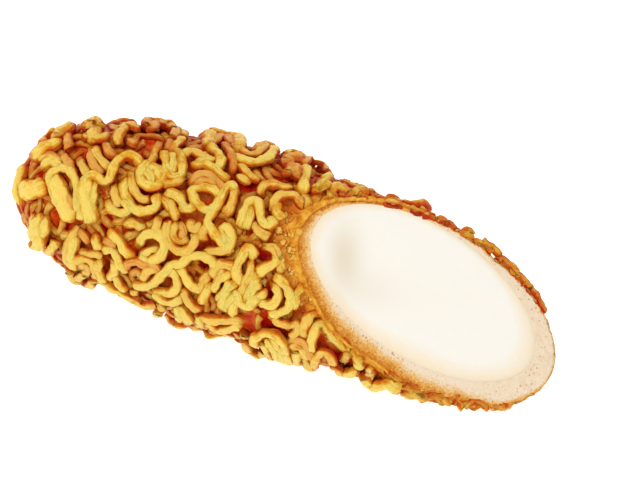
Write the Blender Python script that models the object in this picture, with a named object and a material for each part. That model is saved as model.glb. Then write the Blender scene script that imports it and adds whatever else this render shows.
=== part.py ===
"""Half of a corn dog coated in fried noodle curls, cut open on a slant.

It lies on its side with the cut face up and towards +X. A mozzarella log fills it
from near the rounded end to the cut, inside a shell of fried batter. Curls of fried
instant noodle cover the batter all round and are fused to it. Metres, +Z up, the
floor at z = 0, the rounded end towards -X and the cut end towards +X.

Places on the body are given as (along, around): millimetres from the rounded end
along the axis, and degrees round it, 0 on top and positive towards -Y.
"""

import math
import random

import bmesh
import bpy
from mathutils import Vector

MM = 0.001

# The body
CRUST_RADIUS = 22.4 * MM
WIDEST_ALONG = 64 * MM
NARROWER_AT_TIP = 4.5 * MM
NARROWER_AT_CUT = 3.2 * MM
NARROWING_RUN = 76 * MM
TIP_ROUNDING = 25 * MM
BOW = 0.95 * MM
HALF_LENGTH = 70 * MM
CRUST_LUMP = 0.3 * MM
AXIS_HEIGHT = 21.9 * MM
TIP_X = -70.1 * MM
AXIS_Y = -0.6 * MM
BLANK_LENGTH = 165 * MM

# The slanted cut
CUT_ALONG = 110.9 * MM
CUT_SLOPE = math.radians(31.7)

# The cheese: how far it stays from the crust's surface
CHEESE_START = 7 * MM
CHEESE_ROUNDING = 20 * MM
BATTER_ON_TOP = 1.4 * MM
BATTER_BELOW = 3.6 * MM
BATTER_IN_FRONT = 5.0 * MM
BATTER_BEHIND = 1.5 * MM
GAP = 0.3 * MM

# The noodles
STRAND_RADIUS = 1.35 * MM
STRAND_STEP = 2.2 * MM
STRAND_LIFT = 0.75 * MM
END_LIFT = -0.2 * MM
RIM_MARGIN = 3 * MM
SPACING = 4.6 * MM
EXTRA_NOODLES = 27
SEED = 5

# Facets
CRUST_SIDES = 32
CHEESE_SIDES = 24
TIP_RINGS = 7
CRUST_STEP = 5.5 * MM
CHEESE_STEP = 14 * MM

# Noodles seen on the upper side, each as (rise in mm, its places along and around)
UPPER_NOODLES = [
    # the rounded end
    (0.5, [(10, 24), (3, 28), (0.8, 42), (3, 66)]),
    (0.2, [(19, 37), (15.5, 24), (13, 10), (15.5, 0), (18.5, 12), (22, 30)]),
    (0.3, [(22, 38), (22, 14), (25, 3), (28, -4), (31, -15), (35, -10)]),
    (0.0, [(17.5, -62), (16, -45), (19, -36), (22, -48)]),
    (0.0, [(6, -10), (8, -24), (13, -34)]),
    (0.2, [(22, -14), (25, -3), (29, 4), (30, 16)]),
    (0.3, [(33, -2), (31.5, 9), (34.5, 19), (38.5, 19), (39.5, 11)]),
    (0.1, [(11, 52), (12.5, 66), (12, 80), (8, 98)]),
    (0.2, [(21.5, 76), (20.5, 56), (23, 45), (26, 56)]),
    (0.4, [(23, 80), (26.5, 70), (29.5, 80), (26.5, 90), (23.5, 86)]),
    (0.3, [(30, 50), (33, 60), (31, 70), (28.5, 64), (32, 82), (38, 86)]),
    (0.3, [(38, 40), (41, 31), (44, 38), (41, 46), (36, 52)]),
    # the middle
    (0.8, [(36.5, -20), (39.5, -12), (42.5, -10), (42, -22), (44.5, -30), (50, -26)]),
    (0.4, [(31, -60), (34, -70), (31, -78), (28, -68)]),
    (1.6, [(48, -30), (47.5, -46), (44.5, -58), (48, -68), (51.5, -60)]),
    (0.6, [(53.5, -47), (55.5, -36), (58.5, -34), (61.5, -50)]),
    (0.3, [(48, 2), (50.5, 8), (54, 7), (56, -6), (58, 4)]),
    (0.3, [(47, -8), (51, -14), (55, -10)]),
    (0.4, [(44, 17), (45.5, 29), (48.5, 33), (51.5, 27), (52, 18)]),
    (0.3, [(54, 5), (60.5, 20), (55, 27), (54, 18)]),
    (0.5, [(60, 12), (60.5, -3), (63, -10), (65, 3), (69, 5)]),
    (0.5, [(64.5, -14), (68, -26), (72, -20), (75, -9)]),
    (0.2, [(39.5, 74), (41.5, 90), (44.5, 84), (45, 70)]),
    (0.2, [(47, 45), (50, 38), (54, 34), (57.5, 40), (56, 56)]),
    (0.3, [(60, 60), (58.5, 43), (61, 35), (64, 45), (63, 62)]),
    (0.4, [(67, 48), (64.5, 34), (65, 22), (69, 28), (69.5, 44)]),
    (0.3, [(50, 76), (52.5, 88), (57.5, 84), (58, 72)]),
    (0.4, [(73, 34), (75.5, 42), (74, 54), (70, 50)]),
    # along the lower rim of the cut
    (0.5, [(70, 100), (71, 78), (75, 70), (79, 82), (80, 98)]),
    (0.5, [(81, 92), (80.5, 74), (84, 62), (87.5, 72), (89, 88)]),
    (0.3, [(91, 98), (94, 82), (99, 88), (101, 102)]),
]


def smooth(share):
    """0 to 1 with a soft start and end."""
    share = min(max(share, 0.0), 1.0)
    return share * share * (3 - 2 * share)


def crust_radius(along):
    """The batter's radius at a distance from the rounded end, in metres."""
    if along < WIDEST_ALONG:
        radius = CRUST_RADIUS - NARROWER_AT_TIP * smooth((WIDEST_ALONG - along) / WIDEST_ALONG)
    else:
        radius = CRUST_RADIUS - NARROWER_AT_CUT * smooth((along - WIDEST_ALONG) / NARROWING_RUN)
    return radius * roundness(along, TIP_ROUNDING)


def roundness(along, rounding):
    """How far a rounded end has opened out, from 0 at its tip to 1."""
    left = 1 - min(max(along / rounding, 0.0), 1.0)
    return math.sqrt(1 - left * left)


def lump(along, angle):
    """The crust's gentle unevenness."""
    waves = math.sin(along / MM * 0.21 + 3 * angle) + math.sin(along / MM * 0.13 - 2 * angle + 1.3)
    return CRUST_LUMP * waves * smooth(along / TIP_ROUNDING)


def bow(along):
    """How far the axis bends sideways."""
    share = (along - HALF_LENGTH) / HALF_LENGTH
    return BOW * (1 - share * share)


def crust_point(along, angle):
    """The point of the crust at a distance along the axis and an angle round it."""
    radius = crust_radius(along) + lump(along, angle)
    return Vector((
        TIP_X + along,
        AXIS_Y + bow(along) + radius * math.cos(angle),
        AXIS_HEIGHT + radius * math.sin(angle),
    ))


def on_crust(along, around, height):
    """The point at a height straight over the crust, from millimetres along and degrees around."""
    along = max(along * MM, 0.5 * MM)
    angle = math.radians(90 + around)
    step = 0.2 * MM
    slope = (crust_radius(along + step) - crust_radius(along - step)) / (2 * step)
    outward = Vector((-slope, math.cos(angle), math.sin(angle))).normalized()
    return crust_point(along, angle) + outward * height


def crust_ring(along, sides):
    """One cross-section of the batter."""
    return [crust_point(along, math.tau * side / sides) for side in range(sides)]


def cheese_ring(along, sides, growth):
    """One cross-section of the cheese, grown outwards by a gap."""
    open_out = roundness(along - CHEESE_START + growth, CHEESE_ROUNDING)
    radius = crust_radius(max(along, TIP_ROUNDING))
    half_width = (radius - (BATTER_IN_FRONT + BATTER_BEHIND) / 2 + growth) * open_out
    half_height = (radius - (BATTER_ON_TOP + BATTER_BELOW) / 2 + growth) * open_out
    middle = Vector((
        TIP_X + along,
        AXIS_Y + bow(along) + (BATTER_IN_FRONT - BATTER_BEHIND) / 2,
        AXIS_HEIGHT + (BATTER_BELOW - BATTER_ON_TOP) / 2,
    ))
    ring = []
    for side in range(sides):
        angle = math.tau * side / sides
        ring.append(middle + Vector((0, half_width * math.cos(angle), half_height * math.sin(angle))))
    return ring


def stations(start, rounding, step):
    """Distances along the axis: close together at the rounded end, then even."""
    places = [start + rounding * (1 - math.cos(math.pi / 2 * n / TIP_RINGS)) for n in range(TIP_RINGS + 1)]
    count = math.ceil((BLANK_LENGTH - places[-1]) / step)
    run = (BLANK_LENGTH - places[-1]) / count
    return places + [places[-1] + run * (n + 1) for n in range(count)]


def loft(rings):
    """A closed mesh over rings of equal size. The first ring is a single point."""
    mesh = bmesh.new()
    tip = mesh.verts.new(rings[0][0])
    loops = [[mesh.verts.new(point) for point in ring] for ring in rings[1:]]
    sides = len(loops[0])
    for side in range(sides):
        mesh.faces.new((tip, loops[0][(side + 1) % sides], loops[0][side]))
    for lower, upper in zip(loops, loops[1:]):
        for side in range(sides):
            ahead = (side + 1) % sides
            mesh.faces.new((lower[side], lower[ahead], upper[ahead], upper[side]))
    mesh.faces.new(loops[-1])
    bmesh.ops.recalc_face_normals(mesh, faces=mesh.faces)
    return mesh


def smooth_route(places, step):
    """Even points on a smooth line through places, as millimetres along and around the body."""
    if len(places) < 3:
        places = [places[0], tuple((a + b) / 2 for a, b in zip(*places)), places[1]]
    padded = [places[0], *places, places[-1]]
    line = []
    for before, start, end, after in zip(padded, padded[1:], padded[2:], padded[3:]):
        length = (on_crust(*end, 0) - on_crust(*start, 0)).length
        count = max(1, round(length / step))
        for n in range(count):
            share = n / count
            line.append(tuple(
                0.5 * (
                    2 * start[k]
                    + (end[k] - before[k]) * share
                    + (2 * before[k] - 5 * start[k] + 4 * end[k] - after[k]) * share ** 2
                    + (3 * start[k] - before[k] - 3 * end[k] + after[k]) * share ** 3
                )
                for k in range(2)
            ))
    return [*line, places[-1]]


def noodle(name, rise, places):
    """One fried noodle strand laid on the crust: both ends sink in and the middle rises."""
    line = smooth_route(places, STRAND_STEP)
    data = bpy.data.curves.new(name, "CURVE")
    data.dimensions = "3D"
    data.bevel_depth = STRAND_RADIUS
    data.bevel_resolution = 1
    data.use_fill_caps = True
    spline = data.splines.new("POLY")
    spline.points.add(len(line) - 1)
    for n, (along, around) in enumerate(line):
        share = n / (len(line) - 1)
        arch = math.sin(math.pi * share)
        height = END_LIFT + (STRAND_LIFT - END_LIFT) * min(1, 3 * arch) + rise * MM * arch
        spline.points[n].co = (*on_crust(along, around, height), 1)
    curve = bpy.data.objects.new(name, data)
    bpy.context.scene.collection.objects.link(curve)
    bpy.context.view_layer.update()
    mesh = bpy.data.meshes.new_from_object(curve.evaluated_get(bpy.context.evaluated_depsgraph_get()))
    bpy.data.objects.remove(curve)
    welded = bmesh.new()
    welded.from_mesh(mesh)
    bmesh.ops.remove_doubles(welded, verts=welded.verts, dist=0.01 * MM)
    bmesh.ops.recalc_face_normals(welded, faces=welded.faces)
    welded.to_mesh(mesh)
    welded.free()
    return bpy.data.objects.new(name, mesh)


def curl(along, around, heading, form, size):
    """The places of one noodle curl of a plain form, turned by heading."""
    if form == "arch":
        flat = [(-size, -size / 2), (0, -size * 0.55), (size * 0.8, 0), (0, size * 0.55), (-size, size / 2)]
    elif form == "wave":
        crests = [(-1.4, 0), (-0.9, 0.6), (0, -0.6), (0.9, 0.6), (1.4, 0)]
        flat = [(size * ahead, size * aside) for ahead, aside in crests]
    elif form == "hook":
        turns = [math.radians(50 * n) for n in range(6)]
        flat = [(size * 0.7 * math.cos(turn), size * 0.7 * math.sin(turn)) for turn in turns]
        flat.append((size * 1.5, -size * 0.9))
    else:
        flat = [(-size, -size * 0.35), (0, size * 0.3), (size, -size * 0.2)]
    degrees_per_mm = math.degrees(MM / CRUST_RADIUS)
    places = []
    for ahead, aside in flat:
        run = ahead * math.cos(heading) - aside * math.sin(heading)
        turn = ahead * math.sin(heading) + aside * math.cos(heading)
        places.append((along + run, around + turn * degrees_per_mm))
    return places


def clear_of_rim(places):
    """Whether a noodle stays on the crust, away from the cut."""
    normal = Vector((math.sin(CUT_SLOPE), 0, math.cos(CUT_SLOPE)))
    cut_point = Vector((TIP_X + CUT_ALONG, 0, AXIS_HEIGHT))
    return all(
        along > 1.5 and (on_crust(along, around, 0) - cut_point).dot(normal) < -RIM_MARGIN
        for along, around in places
    )


def extra_noodles():
    """Curls that fill the sides, the underside and the gaps, spread evenly by a seeded rule."""
    draw = random.Random(SEED)
    taken = []
    for _, places in UPPER_NOODLES:
        taken += [on_crust(*place, 0) for place in smooth_route(places, STRAND_STEP)]
    found = []
    while len(found) < EXTRA_NOODLES:
        along = draw.uniform(4, 138)
        around = draw.uniform(-180, 180)
        form = draw.choice(["arch", "wave", "hook", "bend"])
        places = curl(along, around, draw.uniform(0, math.tau), form, draw.uniform(4.4, 5.8))
        rise = draw.uniform(0, 0.5)
        if not clear_of_rim(places):
            continue
        line = [on_crust(*place, 0) for place in smooth_route(places, STRAND_STEP)]
        if min((a - b).length for a in line for b in taken) < SPACING:
            continue
        taken += line
        found.append((rise, places))
    return found


def block(name, corners_low, corners_high, tilt=0.0, pivot=(0, 0, 0)):
    """A box that cuts away what lies inside it."""
    mesh = bpy.data.meshes.new(name)
    shape = bmesh.new()
    bmesh.ops.create_cube(shape, size=1)
    low, high = Vector(corners_low), Vector(corners_high)
    for vert in shape.verts:
        vert.co = (low + high) / 2 + Vector(a * b for a, b in zip(vert.co, high - low))
    shape.to_mesh(mesh)
    shape.free()
    cutter = bpy.data.objects.new(name, mesh)
    cutter.location = pivot
    cutter.rotation_euler = (0, tilt, 0)
    return cutter


def cut_cutter():
    """The box whose lower face is the slanted cut."""
    reach = 120 * MM
    return block(
        "cut_cutter",
        (-reach, -reach / 2, 0),
        (reach, reach / 2, reach),
        tilt=CUT_SLOPE,
        pivot=(TIP_X + CUT_ALONG, 0, AXIS_HEIGHT),
    )


def floor_cutter():
    """The box whose top is the floor, so that the noodles below lie flat."""
    reach = 120 * MM
    return block("floor_cutter", (-reach, -reach / 2, -reach / 4), (reach, reach / 2, 0))


def combine(shape, operation, other, solver="EXACT"):
    """Applies one Boolean with an object or a collection."""
    scene = bpy.context.scene.collection
    step = shape.modifiers.new("combine", "BOOLEAN")
    step.operation = operation
    step.solver = solver
    if isinstance(other, bpy.types.Collection):
        scene.children.link(other)
        step.operand_type = "COLLECTION"
        step.collection = other
    else:
        scene.objects.link(other)
        step.object = other
    bpy.context.view_layer.update()
    mesh = bpy.data.meshes.new_from_object(shape.evaluated_get(bpy.context.evaluated_depsgraph_get()))
    shape.modifiers.clear()
    shape.data = mesh
    if isinstance(other, bpy.types.Collection):
        for piece in list(other.objects):
            bpy.data.objects.remove(piece)
        bpy.data.collections.remove(other)
    else:
        bpy.data.objects.remove(other)


def keep_main_body(shape):
    """Drops loose scraps, and fills hollows that the fusing sealed."""
    mesh = bmesh.new()
    mesh.from_mesh(shape.data)
    left = set(mesh.faces)
    bodies = []
    while left:
        body = {left.pop()}
        border = list(body)
        while border:
            face = border.pop()
            for edge in face.edges:
                fresh = [other for other in edge.link_faces if other not in body]
                body.update(fresh)
                border += fresh
        left -= body
        bodies.append(body)
    bodies.sort(key=len)
    for scrap in bodies[:-1]:
        bmesh.ops.delete(mesh, geom=list(scrap), context="FACES")
    mesh.to_mesh(shape.data)
    mesh.free()


def finish(name, colour, roughness):
    """A plain material for one part."""
    material = bpy.data.materials.new(name)
    material.use_nodes = True
    shader = material.node_tree.nodes["Principled BSDF"]
    shader.inputs["Base Color"].default_value = (*colour, 1)
    shader.inputs["Roughness"].default_value = roughness
    shader.inputs["Metallic"].default_value = 0.0
    return material


def add_object(name, mesh, material):
    """A named object from a mesh under construction."""
    data = bpy.data.meshes.new(name)
    mesh.to_mesh(data)
    mesh.free()
    data.materials.append(material)
    shape = bpy.data.objects.new(name, data)
    bpy.context.scene.collection.objects.link(shape)
    return shape


def round_off(shape):
    """Smooth shading, with the cut's edge kept sharp."""
    shape.data.shade_smooth()
    shape.data.set_sharp_from_angle(angle=math.radians(50))


def make_cheese():
    """The mozzarella log, cut off with the crust."""
    places = stations(CHEESE_START, CHEESE_ROUNDING, CHEESE_STEP)
    rings = [cheese_ring(along, CHEESE_SIDES, 0) for along in places]
    cheese = add_object("cheese", loft(rings), finish("mozzarella", (0.95, 0.91, 0.83), 0.45))
    combine(cheese, "DIFFERENCE", cut_cutter())
    keep_main_body(cheese)
    round_off(cheese)
    return cheese


def cheese_cutter():
    """The room for the cheese, a gap wider than it all round."""
    places = stations(CHEESE_START - GAP, CHEESE_ROUNDING, CHEESE_STEP)
    rings = [cheese_ring(along, CHEESE_SIDES, GAP) for along in places]
    data = bpy.data.meshes.new("cheese_cutter")
    mesh = loft(rings)
    mesh.to_mesh(data)
    mesh.free()
    return bpy.data.objects.new("cheese_cutter", data)


def make_batter():
    """The fried shell with its noodles fused on, hollowed for the cheese and cut."""
    rings = [crust_ring(along, CRUST_SIDES) for along in stations(0, TIP_ROUNDING, CRUST_STEP)]
    batter = add_object("batter", loft(rings), finish("fried batter", (0.78, 0.42, 0.09), 0.5))
    noodles = bpy.data.collections.new("noodles")
    for number, (rise, places) in enumerate(UPPER_NOODLES + extra_noodles()):
        noodles.objects.link(noodle(f"noodle_{number:02d}", rise, places))
    combine(batter, "UNION", noodles, solver="MANIFOLD")
    combine(batter, "DIFFERENCE", cheese_cutter())
    combine(batter, "DIFFERENCE", cut_cutter())
    combine(batter, "DIFFERENCE", floor_cutter(), solver="MANIFOLD")
    keep_main_body(batter)
    round_off(batter)
    return batter


def main():
    for old in list(bpy.data.objects):
        bpy.data.objects.remove(old, do_unlink=True)
    make_cheese()
    make_batter()


main()
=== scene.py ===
"""The picture of half a corn dog: a fried shell under noodle curls, cut open on a slant.

The crust and the cheese are each shaped from one sphere, row by row. Every noodle is
a copy of a straight one of its length, bent along a route on the crust and laid on those
that are there already. Shapes are worked out in millimetres and set down in metres.
"""

import math
import random

import bpy
import numpy as np
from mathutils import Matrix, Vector, kdtree, noise


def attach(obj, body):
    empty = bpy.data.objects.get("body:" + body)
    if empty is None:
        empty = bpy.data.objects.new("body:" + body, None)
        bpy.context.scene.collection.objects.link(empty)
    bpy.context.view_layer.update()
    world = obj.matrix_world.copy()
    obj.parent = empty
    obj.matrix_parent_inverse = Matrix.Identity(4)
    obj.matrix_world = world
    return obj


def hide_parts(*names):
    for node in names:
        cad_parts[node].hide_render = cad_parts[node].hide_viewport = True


MM = 0.001

# The body, as the solids have it, in millimetres
CRUST_RADIUS = 22.4
WIDEST_ALONG = 64
NARROWER_AT_TIP = 4.5
NARROWER_AT_CUT = 3.2
NARROWING_RUN = 76
TIP_ROUNDING = 25
BOW = 0.95
HALF_LENGTH = 70
CRUST_LUMP = 0.3
AXIS_HEIGHT = 21.9
TIP_X = -70.1
AXIS_Y = -0.6
CUT_ALONG = 110.9
CUT_SLOPE = math.radians(31.7)
CHEESE_START = 7
CHEESE_ROUNDING = 20
CHEESE_SLIMMING = 1.3
CHEESE_SLIMMING_RUN = 3.5
BATTER_ON_TOP = 1.4
BATTER_BELOW = 3.6
BATTER_IN_FRONT = 5.0
BATTER_BEHIND = 1.5

# How far the crust between the noodles lies under the solid's surface, and where it comes out again
CRUST_SUNK = 0.55
TIP_SUNK = 1.3
LOW_END_SUNK = -0.4
LOW_END_FROM = 98
LOW_END_RUN = 26

CUT_POINT = np.array([TIP_X + CUT_ALONG, 0.0, AXIS_HEIGHT])
CUT_NORMAL = np.array([math.sin(CUT_SLOPE), 0.0, math.cos(CUT_SLOPE)])

# The camera of the photograph
PICTURE_WIDTH = 640
PICTURE_MIDDLE = (320.0, 239.5)
LENS = 100
SENSOR = 36
CAMERA_DISTANCE = 442
CAMERA_ELEVATION = math.radians(70)
CAMERA_AZIMUTH = math.radians(19.2)
CAMERA_AIM = np.array([TIP_X + 77.1, AXIS_Y + 8.2, AXIS_HEIGHT])

# The search for where a line meets a surface
FARTHEST_ALONG = 165.0
HALVINGS = 40
SEARCH_BEFORE = 45
SEARCH_BEYOND = 50
SEARCH_STEPS = 330
CUT_AWAY = 999.0
TINY = 1e-6

# The noodles
STRAND_RADIUS = 1.12
STRAND_SIDES = 16
HIDDEN_STRAND_SIDES = 12
STRAND_STEP = 0.6
REST_HEIGHT = 0.5
STACKING = 1.5
HIGHEST = 2.75
BARE_FROM = 124
STREAK_LENGTH = 0.12
FAT_FROM = 1.35
FAT_SIDES = 28
FAT_PALENESS = 0.2
LOW_END_PALENESS = 1.3
SHADE_STEP = 0.618
SQUARENESS = 2.4
FLATNESS = 0.86
CAP_REACH = 0.35
FAT_CAP_REACH = 0.7
SHARP_NOODLE_EDGE = 60
FACING_AT_CUT = 0.7

# How noodles settle: over each other, over themselves, and down to the crust at their ends
OWN_REACH = 2.6
BRIDGING_ROUNDS = 10
SOFTENING_ROUNDS = 4
CENTRE_ROUNDS = 3
END_DIP = 0.55
END_DIP_RUN = 2.2
LOWEST_SHARE = 0.25
PIXEL_STEP = 2.0
CURVE_POINTS = 24
LIFT_ALLOWED = 0.4
UNDER_KNIFE = 0.75
OVER_FLOOR = 0.6

# Stretches of the cut's rim with noodles along it, in degrees from the back over the top
RIM_ARCS = [(-56, 80), (196, 244)]
RIM_BARE_FROM = 134
ROUTE_STEP = 0.5
SEED = 11

# Noodles as they lie in the picture: thickness, then pixels along each
YELLOW_SEEN = [
    # the rounded end, where noodles run together into fat lobes
    (2.2, [(24, 191), (32, 190), (42, 188)]),
    (1.9, [(57, 180), (60, 192), (65, 205), (70, 216)]),
    (1.8, [(87, 181), (86, 193), (88, 205), (92, 217)]),
    (1.9, [(37, 155), (46, 149), (57, 144)]),
    (1.7, [(36, 219), (39, 232), (41, 246)]),
    (1.35, [(24, 169), (20, 179), (18, 190), (21, 201)]),
    (1.4, [(45, 166), (52, 162), (60, 164)]),
    (1.1, [(65, 218), (62, 208), (56, 198), (52, 188), (50, 178), (55, 171), (64, 168), (72, 173),
           (77, 184), (78, 197), (78, 211)]),
    (1.15, [(82, 217), (80, 205), (81, 193), (85, 181), (91, 175), (98, 177), (104, 183), (109, 179),
            (113, 170), (117, 162), (123, 157), (130, 156), (137, 160), (141, 166)]),
    (1.15, [(94, 185), (93, 195), (90, 205), (88, 215), (89, 221)]),
    (1.4, [(41, 217), (36, 226), (34, 236)]),
    (1.2, [(46, 220), (45, 229), (39, 236), (38, 245)]),
    (0.7, [(25, 248), (34, 247), (43, 245), (51, 248)]),
    (1.1, [(47, 252), (53, 248), (56, 242)]),
    (1.15, [(75, 238), (73, 250), (71, 260), (74, 266)]),
    (1.15, [(97, 235), (96, 242), (99, 246)]),
    (1.15, [(113, 233), (119, 240), (124, 248), (130, 254)]),
    (1.05, [(105, 249), (113, 250), (117, 256), (121, 264), (124, 269)]),
    (1.1, [(100, 262), (99, 270), (102, 278), (108, 284), (115, 289), (123, 293), (130, 296)]),
    (1.0, [(114, 259), (115, 266), (113, 273), (110, 277)]),
    (1.05, [(115, 275), (119, 283), (125, 290)]),
    # right of the end
    (1.1, [(127, 180), (124, 190), (128, 200), (134, 208), (141, 211), (149, 211), (156, 206), (157, 199)]),
    (1.0, [(108, 202), (112, 209), (120, 213), (127, 212), (128, 206), (124, 201)]),
    (1.0, [(126, 224), (134, 223), (141, 227)]),
    # the upper middle
    (1.2, [(149, 165), (142, 170), (141, 178), (144, 184), (152, 187), (159, 185), (161, 179),
           (157, 171), (150, 168)]),
    (1.1, [(147, 172), (151, 177), (152, 184)]),
    (1.1, [(165, 155), (166, 165), (169, 174), (175, 178), (181, 175), (182, 165), (181, 156), (176, 152)]),
    (1.0, [(173, 155), (173, 165), (172, 173)]),
    (1.0, [(198, 164), (204, 160), (213, 161)]),
    (1.15, [(196, 166), (204, 165), (212, 168), (219, 173), (227, 180)]),
    (1.15, [(209, 143), (213, 150), (219, 155), (221, 162), (218, 168), (212, 170)]),
    (1.1, [(219, 196), (216, 191), (208, 188), (199, 188), (192, 190), (193, 195), (197, 203),
           (203, 209), (210, 210), (216, 207), (221, 200), (224, 191), (229, 186), (233, 188)]),
    (1.15, [(238, 158), (247, 162), (258, 162), (268, 158), (275, 150)]),
    (1.05, [(168, 193), (176, 195), (181, 200), (185, 208)]),
    (1.0, [(182, 206), (189, 209), (194, 207)]),
    # the middle
    (1.15, [(140, 243), (143, 237), (150, 233), (158, 234), (163, 240), (165, 248), (161, 255),
            (155, 259), (148, 261), (142, 257)]),
    (0.9, [(143, 254), (149, 250), (156, 249)]),
    (1.15, [(214, 211), (208, 221), (210, 228), (216, 235), (222, 243), (226, 249)]),
    (1.15, [(228, 250), (232, 242), (231, 232), (226, 227), (222, 230)]),
    (1.0, [(222, 230), (225, 237), (228, 244)]),
    (1.15, [(241, 228), (242, 220), (246, 209), (250, 202), (255, 200), (259, 205), (260, 214),
            (262, 220), (267, 226), (272, 223)]),
    (1.05, [(250, 208), (249, 218), (246, 227)]),
    (1.0, [(278, 205), (276, 212), (281, 218)]),
    # the lower middle
    (1.05, [(136, 285), (145, 286), (154, 282), (162, 275), (169, 267)]),
    (1.05, [(156, 289), (165, 292), (174, 291), (178, 285), (176, 277), (173, 271)]),
    (1.0, [(157, 295), (165, 301), (173, 302), (180, 298)]),
    (1.1, [(179, 303), (183, 311), (190, 319)]),
    (1.0, [(176, 309), (181, 319)]),
    (1.1, [(168, 271), (172, 264), (181, 264), (186, 260), (193, 256), (202, 256), (212, 261), (217, 269)]),
    (1.15, [(182, 269), (185, 276), (194, 287), (200, 289)]),
    (1.1, [(210, 284), (205, 293), (203, 299)]),
    (1.15, [(223, 307), (224, 296), (231, 283)]),
    (1.05, [(232, 313), (235, 301)]),
    (1.0, [(177, 306), (181, 315), (188, 320)]),
    (1.1, [(207, 322), (219, 329), (230, 328), (239, 324)]),
    (1.0, [(199, 315), (202, 328)]),
    (1.2, [(236, 292), (241, 302), (249, 305), (256, 297)]),
    # two twisted bundles
    (0.95, [(214, 288), (220, 279), (230, 274)]),
    (0.95, [(219, 298), (226, 289), (235, 283)]),
    (0.95, [(225, 308), (231, 299), (239, 293)]),
    (0.95, [(242, 289), (249, 279), (257, 275)]),
    (0.95, [(246, 298), (252, 289), (260, 284)]),
    (0.95, [(251, 307), (257, 298), (264, 293)]),
    # near the cut
    (1.15, [(241, 282), (236, 273), (239, 262), (244, 253), (249, 248), (254, 255)]),
    (1.05, [(255, 278), (252, 291), (248, 298)]),
    (1.15, [(260, 271), (268, 266), (277, 261), (280, 255)]),
    (1.1, [(275, 284), (279, 293), (277, 300), (269, 305), (262, 302)]),
    (1.1, [(279, 278), (286, 286), (291, 296), (289, 306), (282, 312), (273, 313)]),
    (1.15, [(304, 286), (297, 295), (294, 304)]),
    (1.1, [(312, 348), (313, 336), (316, 328), (322, 323), (330, 328), (334, 336), (341, 343), (349, 347)]),
    (1.2, [(255, 343), (256, 337), (264, 333), (273, 334), (280, 338), (285, 348), (289, 360)]),
    (0.95, [(262, 341), (266, 350), (271, 358)]),
    (1.05, [(267, 339), (273, 348), (278, 358)]),
    (1.05, [(273, 338), (280, 348), (283, 359)]),
    (1.0, [(297, 351), (297, 362)]),
    (1.1, [(343, 373), (350, 373), (357, 368), (359, 363)]),
    (1.0, [(354, 350), (358, 357), (362, 364)]),
    (1.3, [(364, 374), (368, 383), (376, 386), (387, 384), (397, 388)]),
    (0.8, [(389, 372), (398, 379), (409, 384), (417, 388)]),
    (1.0, [(458, 397), (460, 403), (464, 408)]),
    (1.0, [(460, 234), (473, 235)]),
    (1.0, [(485, 241), (498, 251), (501, 255)]),
    (1.15, [(306, 168), (305, 178), (303, 190)]),
    (1.0, [(329, 176), (322, 183), (317, 190)]),
    (1.0, [(316, 189), (328, 184)]),
]

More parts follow.
